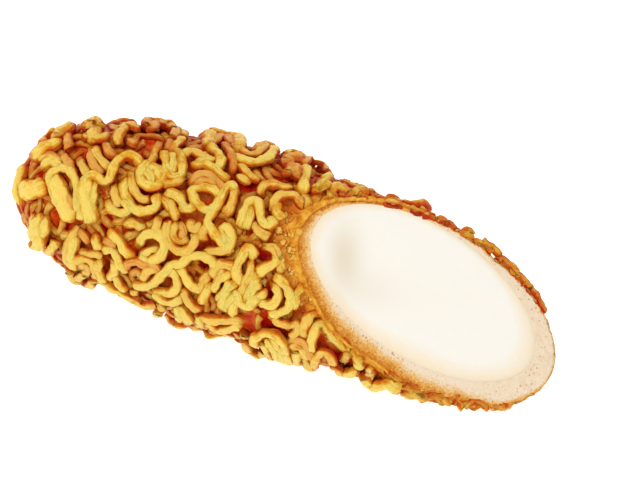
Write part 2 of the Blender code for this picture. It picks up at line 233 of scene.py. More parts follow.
GOLDEN_SEEN = [
    # the rounded end
    (1.6, [(57, 140), (63, 132), (70, 127)]),
    (1.5, [(88, 123), (93, 131), (94, 141)]),
    (1.0, [(81, 161), (84, 169), (88, 174)]),
    (1.05, [(95, 150), (100, 158), (107, 167)]),
    (1.2, [(41, 160), (50, 157), (60, 161)]),
    (1.0, [(90, 130), (90, 124), (96, 120), (101, 126), (97, 132)]),
    (1.0, [(86, 137), (98, 139), (106, 137)]),
    (1.1, [(120, 147), (118, 137), (124, 129), (131, 126), (137, 130)]),
    (1.05, [(77, 230), (72, 236), (68, 246), (66, 255), (70, 264)]),
    (0.9, [(63, 237), (66, 234), (69, 236)]),
    (0.95, [(80, 252), (91, 253), (100, 254)]),
    (1.05, [(76, 260), (84, 258), (92, 262), (96, 269), (96, 278), (90, 285), (84, 287)]),
    (0.95, [(79, 268), (85, 264), (88, 269), (83, 275), (78, 278)]),
    (1.0, [(70, 266), (71, 275), (76, 281), (81, 280)]),
    (1.05, [(132, 174), (132, 183), (135, 192), (140, 198), (148, 200)]),
    (1.0, [(115, 186), (115, 195), (119, 203)]),
    # the upper middle
    (1.05, [(184, 131), (182, 139), (176, 146), (172, 150)]),
    (1.0, [(159, 145), (155, 152), (152, 161), (149, 164)]),
    (1.0, [(155, 168), (161, 170), (164, 176), (162, 182)]),
    (0.95, [(162, 182), (168, 184), (176, 183), (182, 179)]),
    (1.1, [(181, 158), (186, 153), (193, 152), (199, 155), (206, 158)]),
    (1.5, [(209, 148), (209, 138), (214, 130), (222, 127), (230, 130), (237, 137), (239, 146), (237, 152)]),
    (1.05, [(235, 189), (234, 198), (231, 206), (228, 211)]),
    (1.0, [(241, 151), (250, 155), (259, 153), (266, 146)]),
    (1.0, [(239, 164), (245, 171), (250, 177), (258, 180)]),
    (1.0, [(241, 177), (247, 183)]),
    (1.0, [(167, 199), (171, 205), (174, 212), (176, 217)]),
    (0.95, [(162, 198), (167, 203), (170, 209)]),
    # the middle
    (1.0, [(159, 217), (157, 224), (155, 231)]),
    (1.1, [(167, 223), (166, 231), (167, 239), (171, 246), (177, 250), (185, 251), (191, 248),
           (195, 242), (195, 236)]),
    (0.9, [(176, 224), (173, 231), (175, 238), (181, 242), (187, 239)]),
    (1.0, [(190, 223), (193, 229), (199, 227)]),
    (1.05, [(202, 238), (203, 232), (208, 228)]),
    (1.0, [(206, 252), (215, 251), (224, 250), (230, 248)]),
    (1.05, [(253, 223), (258, 231), (266, 236)]),
    (1.15, [(261, 197), (261, 190), (268, 185), (278, 186), (287, 189)]),
    (1.1, [(273, 212), (274, 204), (279, 197), (286, 195), (294, 196), (303, 203)]),
    # the lower middle
    (1.1, [(143, 278), (149, 270), (157, 269)]),
    (1.1, [(135, 286), (135, 296), (140, 303), (149, 306), (156, 302)]),
    (0.95, [(160, 303), (162, 308), (157, 314)]),
    (1.05, [(210, 271), (204, 282), (199, 289)]),
    (1.1, [(214, 275), (218, 266), (226, 264), (233, 266)]),
    (1.05, [(216, 289), (217, 279), (224, 271)]),
    (1.05, [(184, 287), (186, 297), (194, 306), (199, 308)]),
    (1.1, [(200, 315), (210, 319), (226, 320), (239, 319)]),
    # near the cut
    (1.05, [(252, 260), (251, 271), (246, 281), (242, 291)]),
    (1.1, [(265, 247), (273, 248), (279, 255), (282, 262), (283, 271)]),
    (1.0, [(273, 316), (279, 322), (289, 325), (295, 324), (299, 322), (297, 331), (293, 335)]),
    (1.15, [(305, 334), (305, 325), (310, 317), (320, 313), (328, 317), (334, 325), (341, 336),
            (347, 345)]),
    (1.1, [(245, 331), (246, 344), (252, 354), (259, 356), (264, 351)]),
    (1.1, [(292, 358), (291, 350), (296, 345), (303, 349), (306, 359), (310, 369)]),
    (1.05, [(313, 366), (317, 356), (323, 351), (331, 357), (335, 366), (341, 372)]),
    (1.0, [(344, 358), (350, 353)]),
    (1.0, [(402, 393), (418, 396), (434, 396), (441, 397)]),
    (1.0, [(466, 406), (471, 402), (480, 402), (487, 406)]),
    (0.9, [(283, 157), (291, 152), (300, 148)]),
    (1.0, [(303, 166), (306, 161), (312, 158)]),
    (1.1, [(334, 198), (335, 189), (340, 186), (346, 191)]),
    (0.9, [(518, 272), (524, 278), (529, 286)]),
    (0.9, [(532, 288), (538, 295), (541, 303), (545, 310)]),
    (0.9, [(352, 187), (350, 199)]),
    (0.9, [(370, 190), (376, 198)]),
    (1.0, [(384, 203), (396, 206)]),
    (0.8, [(424, 217), (436, 219)]),
    (1.1, [(476, 240), (484, 246), (492, 251)]),
    (1.0, [(353, 198), (359, 189), (367, 191)]),
    (1.0, [(405, 385), (416, 392), (426, 398)]),
    (1.1, [(443, 400), (449, 402)]),
    (1.0, [(501, 256), (509, 263), (517, 270)]),
]

BROWNED_SEEN = [
    (1.1, [(60, 181), (64, 191), (70, 203), (73, 213)]),
    (1.0, [(62, 154), (67, 160), (71, 169)]),
    (1.0, [(94, 150), (91, 155), (94, 165), (100, 173)]),
    (1.05, [(105, 143), (108, 151), (112, 155)]),
    (1.1, [(72, 129), (68, 138), (70, 147)]),
    (1.0, [(128, 141), (135, 145)]),
    (0.95, [(78, 230), (83, 234), (87, 240)]),
    (1.0, [(105, 240), (114, 244)]),
    (1.15, [(146, 131), (147, 122), (154, 117), (163, 113), (169, 119), (172, 130)]),
    (1.1, [(151, 129), (158, 123), (165, 127)]),
    (1.05, [(177, 130), (172, 140), (169, 148)]),
    (1.2, [(214, 146), (219, 138), (227, 138), (232, 146)]),
    (1.05, [(226, 146), (231, 155), (233, 164), (233, 171)]),
    (1.1, [(192, 186), (194, 179), (203, 175), (213, 178), (220, 185), (222, 190)]),
    (1.1, [(197, 184), (206, 180), (215, 185)]),
    (1.0, [(249, 154), (259, 147), (267, 145), (273, 148)]),
    (0.9, [(179, 223), (184, 230), (182, 236)]),
    (1.1, [(124, 270), (127, 264), (135, 261), (145, 263), (155, 265), (158, 269)]),
    (0.9, [(132, 274), (138, 270), (141, 276)]),
    (0.9, [(211, 330), (216, 332)]),
    (1.0, [(290, 342), (297, 338), (305, 343), (310, 351), (312, 360)]),
    (1.7, [(284, 166), (292, 160), (300, 158)]),
    (1.5, [(288, 176), (294, 168), (298, 178)]),
    (0.8, [(311, 163), (317, 160), (324, 166), (328, 173)]),
    (0.9, [(344, 185), (343, 198)]),
    (0.9, [(362, 186), (359, 198)]),
    (1.1, [(380, 199), (390, 201), (400, 206)]),
    (0.7, [(411, 210), (415, 214), (421, 214)]),
    (1.2, [(440, 218), (448, 223), (456, 229)]),
]


def smooth(share):
    """0 to 1 with a soft start and end."""
    share = np.clip(share, 0, 1)
    return share * share * (3 - 2 * share)


def roundness(along, rounding):
    """How far a rounded end has opened out, from 0 at its tip to 1."""
    left = 1 - np.clip(along / rounding, 0, 1)
    return np.sqrt(1 - left * left)


def straight_radius(along):
    """The crust's radius if its end were not rounded."""
    at_tip = NARROWER_AT_TIP * smooth((WIDEST_ALONG - along) / WIDEST_ALONG)
    at_cut = NARROWER_AT_CUT * smooth((along - WIDEST_ALONG) / NARROWING_RUN)
    return CRUST_RADIUS - np.where(along < WIDEST_ALONG, at_tip, at_cut)


def bow(along):
    """How far the axis bends sideways."""
    share = (along - HALF_LENGTH) / HALF_LENGTH
    return BOW * (1 - share * share)


def lump(along, angle):
    """The crust's gentle unevenness."""
    waves = np.sin(along * 0.21 + 3 * angle) + np.sin(along * 0.13 - 2 * angle + 1.3)
    return CRUST_LUMP * waves * smooth(along / TIP_ROUNDING)


def shell_radius(along, angle):
    """The radius of the crust between the noodles, if its end were not rounded."""
    sunk = CRUST_SUNK + (LOW_END_SUNK - CRUST_SUNK) * smooth((along - LOW_END_FROM) / LOW_END_RUN)
    return straight_radius(along) - sunk + lump(along, angle)


def crust_point(along, angle):
    """Points of the crust, at distances along the axis and angles round it."""
    radius = shell_radius(along, angle)
    radius = radius * roundness(along - TIP_SUNK, TIP_ROUNDING - TIP_SUNK)
    return np.stack([
        TIP_X + along,
        AXIS_Y + bow(along) + radius * np.cos(angle),
        AXIS_HEIGHT + radius * np.sin(angle),
    ], axis=-1)


def cheese_point(along, angle, growth=0.0):
    """Points of the cheese's side, grown outwards by a gap."""
    open_out = roundness(along - CHEESE_START, CHEESE_ROUNDING)
    radius = straight_radius(np.maximum(along, TIP_ROUNDING))
    half_width = (radius - (BATTER_IN_FRONT + BATTER_BEHIND) / 2 + growth) * open_out
    half_height = (radius - (BATTER_ON_TOP + BATTER_BELOW) / 2 + growth) * open_out
    return np.stack([
        TIP_X + along,
        AXIS_Y + bow(along) + (BATTER_IN_FRONT - BATTER_BEHIND) / 2 + half_width * np.cos(angle),
        AXIS_HEIGHT + (BATTER_BELOW - BATTER_ON_TOP) / 2 + half_height * np.sin(angle),
    ], axis=-1)


def at_level(points, level):
    """The points moved to a level over the cut's plane."""
    return points + CUT_NORMAL * (under_cut(points) + level)[:, None]


def hidden_slimming(along, angle):
    """How much thinner the cheese is where the crust hides it."""
    return CHEESE_SLIMMING * smooth(under_cut(cheese_point(along, angle)) / CHEESE_SLIMMING_RUN)


def under_cut(points):
    """How deep points lie under the cut's plane."""
    return -(points - CUT_POINT) @ CUT_NORMAL


def where_cut(surface, angles):
    """How far along each line of a surface the cut meets it."""
    low = np.zeros_like(angles)
    high = np.full_like(angles, FARTHEST_ALONG)
    for _ in range(HALVINGS):
        middle = (low + high) / 2
        inside = under_cut(surface(middle, angles)) > 0
        low = np.where(inside, middle, low)
        high = np.where(inside, high, middle)
    return low


def over_crust(points):
    """The height of points over the crust, and the direction straight out of it."""
    along = points[..., 0] - TIP_X
    across = points[..., 1] - AXIS_Y - bow(along)
    up = points[..., 2] - AXIS_HEIGHT
    reach = np.maximum(np.hypot(across, up), 0.01)
    angle = np.arctan2(up, across)
    radius = shell_radius(along, angle)
    back = np.minimum((along - TIP_ROUNDING) / (TIP_ROUNDING - TIP_SUNK), 0)
    side = reach / radius
    size = np.sqrt(back * back + side * side)
    slope_back = back / (size * (TIP_ROUNDING - TIP_SUNK))
    slope_side = side / (size * radius)
    steep = np.hypot(slope_back, slope_side)
    outward = np.stack([slope_back, slope_side * across / reach, slope_side * up / reach], axis=-1)
    return (size - 1) / steep, outward / steep[..., None]


def onto_crust(points, height):
    """The points moved straight in or out to a height over the crust."""
    for _ in range(3):
        now, outward = over_crust(points)
        points = points - outward * (now - height)[..., None]
    return points


# The camera's own directions, for sight lines through the picture
SIGHT_BACK = np.array([
    math.sin(CAMERA_AZIMUTH) * math.cos(CAMERA_ELEVATION),
    -math.cos(CAMERA_AZIMUTH) * math.cos(CAMERA_ELEVATION),
    math.sin(CAMERA_ELEVATION),
])
SIGHT_RIGHT = np.array([math.cos(CAMERA_AZIMUTH), math.sin(CAMERA_AZIMUTH), 0.0])
SIGHT_UP = np.cross(SIGHT_BACK, SIGHT_RIGHT)
CAMERA_PLACE = CAMERA_AIM + SIGHT_BACK * CAMERA_DISTANCE
PIXELS_PER_SLOPE = LENS / SENSOR * PICTURE_WIDTH


def sight_lines(pixels):
    """The direction from the camera through each pixel, one millimetre deep."""
    right = (pixels[:, 0] - PICTURE_MIDDLE[0]) / PIXELS_PER_SLOPE
    up = (PICTURE_MIDDLE[1] - pixels[:, 1]) / PIXELS_PER_SLOPE
    return right[:, None] * SIGHT_RIGHT + up[:, None] * SIGHT_UP - SIGHT_BACK


def pixels_of(points):
    """Where the picture shows points."""
    from_camera = points - CAMERA_PLACE
    depth = -(from_camera @ SIGHT_BACK)
    right = PICTURE_MIDDLE[0] + from_camera @ SIGHT_RIGHT / depth * PIXELS_PER_SLOPE
    down = PICTURE_MIDDLE[1] - from_camera @ SIGHT_UP / depth * PIXELS_PER_SLOPE
    return np.stack([right, down], axis=-1)


def seen_at(pixels, height):
    """The points over the crust that pixels show, each at its own height where its line gets so low."""
    lines = sight_lines(pixels)
    depths = np.linspace(CAMERA_DISTANCE - SEARCH_BEFORE, CAMERA_DISTANCE + SEARCH_BEYOND, SEARCH_STEPS)
    points = CAMERA_PLACE + lines[:, None, :] * depths[None, :, None]
    heights = over_crust(points)[0] - height[:, None]
    heights = np.where(under_cut(points) > 0, heights, CUT_AWAY)
    reached = heights <= 0
    first = np.where(reached.any(axis=1), reached.argmax(axis=1), heights.argmin(axis=1))
    rows = np.arange(len(pixels))
    before = np.maximum(first - 1, 0)
    fall = heights[rows, before] - heights[rows, first]
    crossed = (heights[rows, first] < 0) & (fall > TINY) & (heights[rows, before] < CUT_AWAY)
    back = np.where(crossed, -heights[rows, first] / np.maximum(fall, TINY), 0)
    depth = depths[first] - back * (depths[1] - depths[0])
    return CAMERA_PLACE + lines * depth[:, None]


def curve_through(places, step):
    """A smooth curve through places, with points an even step apart."""
    places = np.array(places, float)
    ends = np.vstack([2 * places[0] - places[1], places, 2 * places[-1] - places[-2]])
    points = []
    for first in range(len(places) - 1):
        a, b, c, d = ends[first:first + 4]
        for share in np.linspace(0, 1, CURVE_POINTS, endpoint=False):
            points.append(0.5 * (2 * b + (c - a) * share + (2 * a - 5 * b + 4 * c - d) * share ** 2
                                 + (3 * b - a - 3 * c + d) * share ** 3))
    points.append(places[-1])
    return evenly(np.array(points), step)


def evenly(points, step):
    """The same line with its points an even step apart."""
    lengths = np.linalg.norm(np.diff(points, axis=0), axis=1)
    run = np.concatenate([[0], np.cumsum(lengths)])
    count = max(int(round(run[-1] / step)), 3)
    even = np.linspace(0, run[-1], count + 1)
    return np.stack([np.interp(even, run, points[:, axis]) for axis in range(points.shape[1])], axis=-1)


def averaged(values):
    """Values along a line, each softened with its neighbours."""
    padded = np.concatenate([values[:1], values, values[-1:]])
    return 0.25 * padded[:-2] + 0.5 * padded[1:-1] + 0.25 * padded[2:]


def unit(vectors):
    """The same directions, one millimetre long."""
    return vectors / np.linalg.norm(vectors, axis=-1)[..., None]


def distances(first, second):
    """The distance of each first point from each second one."""
    return np.sqrt(((first[:, None, :] - second[None, :, :]) ** 2).sum(axis=-1))


class Pile:
    """The noodles laid so far: where each of their points stands, and how high."""

    def __init__(self):
        self.ground = np.zeros((0, 3))
        self.height = np.zeros(0)

    def near(self, ground, reach):
        """Which laid points are worth a look from a route."""
        low = ground.min(axis=0) - reach
        high = ground.max(axis=0) + reach
        return ((self.ground > low) & (self.ground < high)).all(axis=1)

    def needed(self, ground, radius, rest):
        """The height that each point of a new noodle needs to lie on the others and on itself."""
        reach = STACKING * radius
        need = np.full(len(ground), rest)
        if len(self.ground):
            near = self.near(ground, reach)
            apart = distances(ground, self.ground[near])
            rise = self.height[near][None, :] + np.sqrt(np.maximum(reach ** 2 - apart ** 2, 0))
            rise = np.where(apart < reach, rise, 0)
            need = np.maximum(need, rise.max(axis=1, initial=0))
        skip = int(OWN_REACH * radius / ROUTE_STEP)
        for row in range(skip, len(ground)):
            apart = np.linalg.norm(ground[:row - skip + 1] - ground[row], axis=-1)
            close = apart < reach
            if close.any():
                rise = need[:row - skip + 1][close] + np.sqrt(reach ** 2 - apart[close] ** 2)
                need[row] = max(need[row], rise.max())
        return np.minimum(need, HIGHEST)

    def share_covered(self, ground, reach):
        """The share of a route's points that lie close to a noodle already laid."""
        if not len(self.ground):
            return 0.0
        apart = distances(ground, self.ground[self.near(ground, reach)])
        return float((apart.min(axis=1, initial=reach) < reach).mean())

    def lay(self, ground, height):
        """Remembers a noodle."""
        self.ground = np.vstack([self.ground, ground])
        self.height = np.concatenate([self.height, height])


def settled(need, rest):
    """Heights along a noodle, bridging smoothly over what it crosses, its ends dipping."""
    height = need.copy()
    for _ in range(BRIDGING_ROUNDS):
        height = np.maximum(need, averaged(height))
    for _ in range(SOFTENING_ROUNDS):
        height = averaged(height)
    from_end = np.minimum(np.arange(len(height)), np.arange(len(height))[::-1]) * ROUTE_STEP
    dip = END_DIP * (1 - smooth(from_end / END_DIP_RUN))
    return np.maximum(height - dip, LOWEST_SHARE * rest)


def deselect():
    """Nothing selected."""
    bpy.ops.object.select_all(action="DESELECT")


def take_up(piece):
    """Selects one piece and makes it active."""
    deselect()
    piece.select_set(True)
    bpy.context.view_layer.objects.active = piece


def places_of(piece):
    """A piece's vertices, in metres."""
    flat = np.zeros(len(piece.data.vertices) * 3)
    piece.data.vertices.foreach_get("co", flat)
    return flat.reshape(-1, 3)


def place(piece, points):
    """Moves a piece's vertices to points given in millimetres."""
    piece.data.vertices.foreach_set("co", (np.asarray(points) * MM).ravel())
    piece.data.update()


def write_attribute(piece, name, values):
    """Gives each vertex a number that a material reads."""
    layer = piece.data.attributes.new(name, "FLOAT", "POINT")
    layer.data.foreach_set("value", np.asarray(values, np.float32))


def write_directions(piece, name, values):
    """Gives each vertex three numbers that a material reads as a place."""
    layer = piece.data.attributes.new(name, "FLOAT_VECTOR", "POINT")
    layer.data.foreach_set("vector", np.asarray(values, np.float32).ravel())


def sphere_rows(name, sides, rings, halve=False):
    """A sphere, with the ring and the angle of each vertex; a fine one is subdivided from a coarse one."""
    deselect()
    if halve:
        bpy.ops.mesh.primitive_uv_sphere_add(segments=sides // 2, ring_count=rings // 2, radius=1)
        bpy.ops.object.mode_set(mode="EDIT")
        bpy.ops.mesh.select_all(action="SELECT")
        bpy.ops.mesh.subdivide(number_cuts=1)
        bpy.ops.object.mode_set(mode="OBJECT")
    else:
        bpy.ops.mesh.primitive_uv_sphere_add(segments=sides, ring_count=rings, radius=1)
    ball = bpy.context.active_object
    ball.name = name
    points = places_of(ball)
    points = points / np.linalg.norm(points, axis=1)[:, None]
    ring = np.rint(np.arccos(np.clip(points[:, 2], -1, 1)) / math.pi * rings).astype(int)
    side = np.rint(-np.arctan2(points[:, 1], points[:, 0]) / math.tau * sides).astype(int) % sides
    side[(ring == 0) | (ring == rings)] = 0
    return ball, ring, side


def wrinkle(points, size, depth=3):
    """Cloudy noise at points, about -1 to 1."""
    return np.array([noise.fractal(Vector(point) / size, 0.9, 2.0, depth) for point in points])


def grain(points, size):
    """Bumps with sharp valleys, about 0 to 1."""
    return np.array([noise.voronoi(Vector(point) / size)[0][0] for point in points])


# Rows of the crust's sphere: down its outside, over the cut crumb, and back inside
OUTER_ROWS = 228
CRUMB_ROWS = 30
TUCKED_ROWS = 3
INNER_ROWS = 60
CRUST_AROUND = 288

# The run over the rounded end, from its tip to where the body is straight
TIP_ARC = 37.0

# The crust's relief: how far from a noodle the batter is drawn up and how high, its pits, and its lip
BATTER_REACH = 1.5
BATTER_RISE = 0.5
PIT_DEPTH = 0.35
PIT_SIZE = 0.35
LIP_ROUNDING = 0.35
LIP_ROUNDING_RUN = 0.8


def round_the_rim(angle, back, top, front, low_end):
    """A width that changes smoothly round the cut's rim, from its four quarters."""
    at_back = np.maximum(np.cos(angle), 0) ** 2
    at_top = np.maximum(np.sin(angle), 0) ** 2
    at_front = np.maximum(-np.cos(angle), 0) ** 2
    at_low_end = np.maximum(-np.sin(angle), 0) ** 2
    return back * at_back + top * at_top + front * at_front + low_end * at_low_end


def golden_width(angle):
    """How far the golden fried edge reaches into the cut crumb."""
    return round_the_rim(angle, 1.8, 4.2, 4.4, 0.8)


def cream_width(angle):
    """How far the crumb's cream tint reaches over the cheese."""
    return round_the_rim(angle, 1.6, 3.4, 5.5, 7.0)


def drawn_up(points, laid_points):
    """How close each point of the crust is to a noodle, 1 right at it."""
    tree = kdtree.KDTree(len(laid_points))
    for index, laid in enumerate(laid_points):
        tree.insert(Vector(laid), index)
    tree.balance()
    apart = np.array([tree.find(Vector(point))[2] for point in points])
    return np.exp(-(apart / BATTER_REACH) ** 2)


def shade_seen(points, shades):
    """How strong the painted shade of the spots that the picture shows is at points."""
    seen = pixels_of(points)
    strength = np.zeros(len(points))
    for middle, reach, strongest in shades:
        off = (seen - np.array(middle)) / np.array(reach)
        strength = strength + strongest * np.exp(-(off * off).sum(axis=1))
    return strength


# Darker red spots in the deep gaps between the noodles in the picture, partly the batter's own red and
# partly painted shade: pixel, reach in pixels, strength
DEEP_GAP_SPOTS = [
    ((272, 327), (13, 9), 1.0), ((298, 340), (13, 8), 0.9), ((332, 356), (20, 12), 1.0),
    ((269, 292), (8, 8), 0.9), ((260, 258), (8, 9), 0.9), ((102, 228), (12, 9), 1.0),
    ((133, 168), (8, 7), 0.9), ((145, 192), (7, 8), 0.9), ((130, 257), (11, 7), 1.0),
    ((65, 227), (7, 7), 0.8), ((168, 215), (10, 7), 0.7), ((236, 215), (8, 9), 0.8),
    ((205, 268), (9, 8), 0.6), ((246, 184), (12, 7), 0.8), ((285, 178), (12, 7), 0.8),
]


def make_crust(laid_points):
    """The fried shell: bumpy outside, open crumb where it is cut, hollow for the cheese."""
    rings = OUTER_ROWS + CRUMB_ROWS + INNER_ROWS
    crust, ring, side = sphere_rows("crust", CRUST_AROUND, rings, halve=True)
    angles = math.tau * np.arange(CRUST_AROUND) / CRUST_AROUND
    outer_end = where_cut(crust_point, angles)
    inner_end = where_cut(cheese_point, angles)
    angle = angles[side]

    # outside
    run = (TIP_ARC + outer_end[side] - TIP_ROUNDING) * np.clip(ring / OUTER_ROWS, 0, 1)
    in_tip = TIP_ROUNDING - (TIP_ROUNDING - TIP_SUNK) * np.cos(np.clip(run / TIP_ARC, 0, 1) * math.pi / 2)
    along = np.where(run < TIP_ARC, in_tip, TIP_ROUNDING + run - TIP_ARC)
    outside = crust_point(along, angle)
    depth = np.maximum(under_cut(outside), 0)
    outward = over_crust(outside)[1]

    # the cut crumb
    lip = crust_point(outer_end, angles)
    ragged = 0.5 * wrinkle(lip, 3.0) + 0.3 * wrinkle(lip, 1.1)
    ragged = ragged * round_the_rim(angles, 1.0, 1.0, 1.0, 1.6)
    fullness = round_the_rim(angles, 0.5, 0.6, 0.5, 0.15)
    lip = (lip + over_crust(lip)[1] * (fullness + ragged)[:, None])[side]
    brim = at_level(cheese_point(inner_end, angles, 0.5), 0.05)[side]
    dipped = at_level(cheese_point(inner_end, angles, -0.8), -0.12)[side]
    tucked = at_level(cheese_point(inner_end, angles, -1.4), -1.0)[side]
    row = ring - OUTER_ROWS - CRUMB_ROWS
    share = np.clip(1 + (row + 2 * TUCKED_ROWS) / (CRUMB_ROWS - 2 * TUCKED_ROWS), 0, 1)
    share_dipped = np.clip(1 + (row + TUCKED_ROWS) / TUCKED_ROWS, 0, 1)
    share_tucked = np.clip(1 + row / TUCKED_ROWS, 0, 1)
    crumb = (lip + (brim - lip) * share[:, None] + (dipped - brim) * share_dipped[:, None]
             + (tucked - dipped) * share_tucked[:, None])

    # inside, against the cheese
    back = np.clip((ring - OUTER_ROWS - CRUMB_ROWS) / INNER_ROWS, 0, 1)
    inner_along = inner_end[side] - (inner_end[side] - CHEESE_START) * np.sin(back * math.pi / 2)
    inside = cheese_point(inner_along, angle, 0.06 - hidden_slimming(inner_along, angle))

    on_outside = ring <= OUTER_ROWS
    on_crumb = (ring > OUTER_ROWS) & (ring <= OUTER_ROWS + CRUMB_ROWS)
    points = np.where(on_outside[:, None], outside, np.where(on_crumb[:, None], crumb, inside))

    # relief
    lumps = wrinkle(points, 4.2)
    pits = wrinkle(points + 40, 1.5)
    cells = grain(points, 2.3)
    relief = 0.30 * lumps + 0.18 * pits - PIT_DEPTH * np.clip(PIT_SIZE - cells, 0, 1)
    folds = np.sin(depth * 3.1 + 2.5 * wrinkle(points + 90, 5.0))
    near_rim = 1 - smooth(depth / 5.5)
    full_at_rim = (fullness[side] + ragged[side] * (1 - smooth(depth / 1.5))) * (1 - smooth(depth / 6.0))
    by_noodle = drawn_up(outside, laid_points)
    outer_relief = relief + near_rim * (0.30 * folds + 0.3 * pits) + full_at_rim + BATTER_RISE * by_noodle
    from_lip = np.linalg.norm(points - lip, axis=1)
    from_brim = np.linalg.norm(points - brim, axis=1) * (share_dipped == 0)
    rough = 0.42 * wrinkle(points + 70, 0.9) * (1 - smooth(from_lip / golden_width(angle) - 0.2))
    crumb_relief = rough + 0.2 * pits + 0.12 * lumps - 0.45 * np.clip(0.3 - cells, 0, 1)
    crumb_relief = crumb_relief * smooth(from_brim / 1.6)
    rounding = -LIP_ROUNDING * np.exp(-from_lip / LIP_ROUNDING_RUN)
    points = np.where(on_outside[:, None], points + outward * outer_relief[:, None], points)
    points = np.where(on_crumb[:, None], points + CUT_NORMAL * crumb_relief[:, None], points)
    points = points + CUT_NORMAL * rounding[:, None]
    points[:, 2] = np.maximum(points[:, 2], 0.0)
    place(crust, points)

    gap_shade = shade_seen(points, DEEP_GAP_SPOTS) * in_sight(points)
    write_attribute(crust, "rim", np.where(on_outside, depth, 0))
    write_attribute(crust, "crumb", np.where(on_outside, 0, from_lip / golden_width(angle)))
    write_attribute(crust, "inner", np.where(on_outside, 0, 1))
    write_attribute(crust, "pale_lip", round_the_rim(angle, 0.3, 0, 0, 1) * np.exp(-depth / 1.6))
    write_attribute(crust, "gap_shade", gap_shade * on_outside)
    # the relief, which the batter's colour follows as painted shade in its pits
    write_attribute(crust, "hollow", relief)
    write_attribute(crust, "drawn_up", by_noodle * on_outside)
    finish_smooth(crust)
    return crust


# Rows of the cheese's sphere: along its wall, then over its cut face
WALL_ROWS = 50
FACE_ROWS = 110
CHEESE_AROUND = 240
SHARP_CHEESE_EDGE = 25

# Painted shade in patches on the cheese's cut face, where the picture shows it duller: pixel, reach in
# pixels, how dark
CHEESE_SHADES = [((344, 256), (17, 32), 0.75), ((368, 290), (34, 22), 0.25), ((430, 300), (34, 20), 0.06)]


def make_cheese():
    """The cheese: a log with a rounded inner end and a soft, slightly wavy cut face."""
    rings = WALL_ROWS + FACE_ROWS
    cheese, ring, side = sphere_rows("cheese_log", CHEESE_AROUND, rings, halve=True)
    angles = math.tau * np.arange(CHEESE_AROUND) / CHEESE_AROUND
    end = where_cut(cheese_point, angles)
    share = np.clip(ring / WALL_ROWS, 0, 1)
    along = CHEESE_START + (end[side] - CHEESE_START) * (1 - np.cos(share * math.pi / 2))
    wall = cheese_point(along, angles[side], -hidden_slimming(along, angles[side]))
    edge = at_level(cheese_point(end, angles, 0.25), 0.0)[side]
    middle = cheese_point(end, angles).mean(axis=0)
    left = 1 - np.clip((ring - WALL_ROWS) / FACE_ROWS, 0, 1)
    face = middle + (edge - middle) * left[:, None]
    on_face = ring > WALL_ROWS
    points = np.where(on_face[:, None], face, wall)
    from_edge = np.linalg.norm(edge - face, axis=1)
    relief = (0.30 * wrinkle(points, 15, 2) + 0.25) * smooth(from_edge / 6.0)
    relief = relief + 0.03 * wrinkle(points, 2.2, 3) * smooth(from_edge / 1.5) - 0.01
    points = np.where(on_face[:, None], points + CUT_NORMAL * relief[:, None], points)
    place(cheese, points)
    write_attribute(cheese, "edge", np.where(on_face, from_edge / cream_width(angles[side]), 0))
    write_attribute(cheese, "shade", shade_seen(points, CHEESE_SHADES) * on_face)
    finish_smooth(cheese, SHARP_CHEESE_EDGE)
    return cheese


def shade_smooth(piece, sharpest):
    """Shaded smooth but at edges sharper than an angle in degrees."""
    take_up(piece)
    bpy.ops.object.shade_smooth_by_angle(angle=math.radians(sharpest))


def finish_smooth(piece, sharpest=180):
    """Outward faces, shaded smooth but at edges sharper than an angle in degrees."""
    take_up(piece)
    bpy.ops.object.mode_set(mode="EDIT")
    bpy.ops.mesh.select_all(action="SELECT")
    bpy.ops.mesh.normals_make_consistent(inside=False)
    bpy.ops.object.mode_set(mode="OBJECT")
    shade_smooth(piece, sharpest)


BLANKS = {}
CAP_RINGS = 4


def noodle_blank(sides, rings):
    """A straight noodle, modelled once for each number of sides and rings."""
    if (sides, rings) not in BLANKS:
        BLANKS[sides, rings] = sphere_rows("noodle_blank", sides, rings)
    return BLANKS[sides, rings]


def strand_form(angle, run, from_end, cap, shift):
    """A single strand: rather square, a little flared, and cut off on a slant."""
    narrowing = (1 - cap ** 4.5) ** 0.55
    reach = (1 - (1 - cap) ** 2.2) * CAP_REACH
    flare = 1 + 0.12 * np.exp(-from_end / 0.7)
    square = np.abs(np.cos(angle)) ** SQUARENESS + np.abs(np.sin(angle)) ** SQUARENESS
    waves = 0.05 * np.cos(2 * angle + shift) + 0.06 * np.cos(4 * angle + shift + run * 0.3)
    ridges = square ** (-1 / SQUARENESS) * (1.0 + waves)
    slant = 0.5 * np.cos(angle + 7 * shift) * (cap > 0)
    return narrowing, reach, flare, ridges, slant


def lobe_form(angle, run, from_end, cap, shift, radius):
    """A fat lobe of several strands run together: grooved along, with round ends."""
    narrowing = np.sqrt(1 - cap ** 2)
    flare = 1.04 - 0.16 * np.exp(-(from_end / radius) ** 2)
    ridges = 0.97 + 0.10 * np.abs(np.sin(2.5 * angle + 0.30 * run + shift))
    return narrowing, cap * FAT_CAP_REACH, flare, ridges, 0


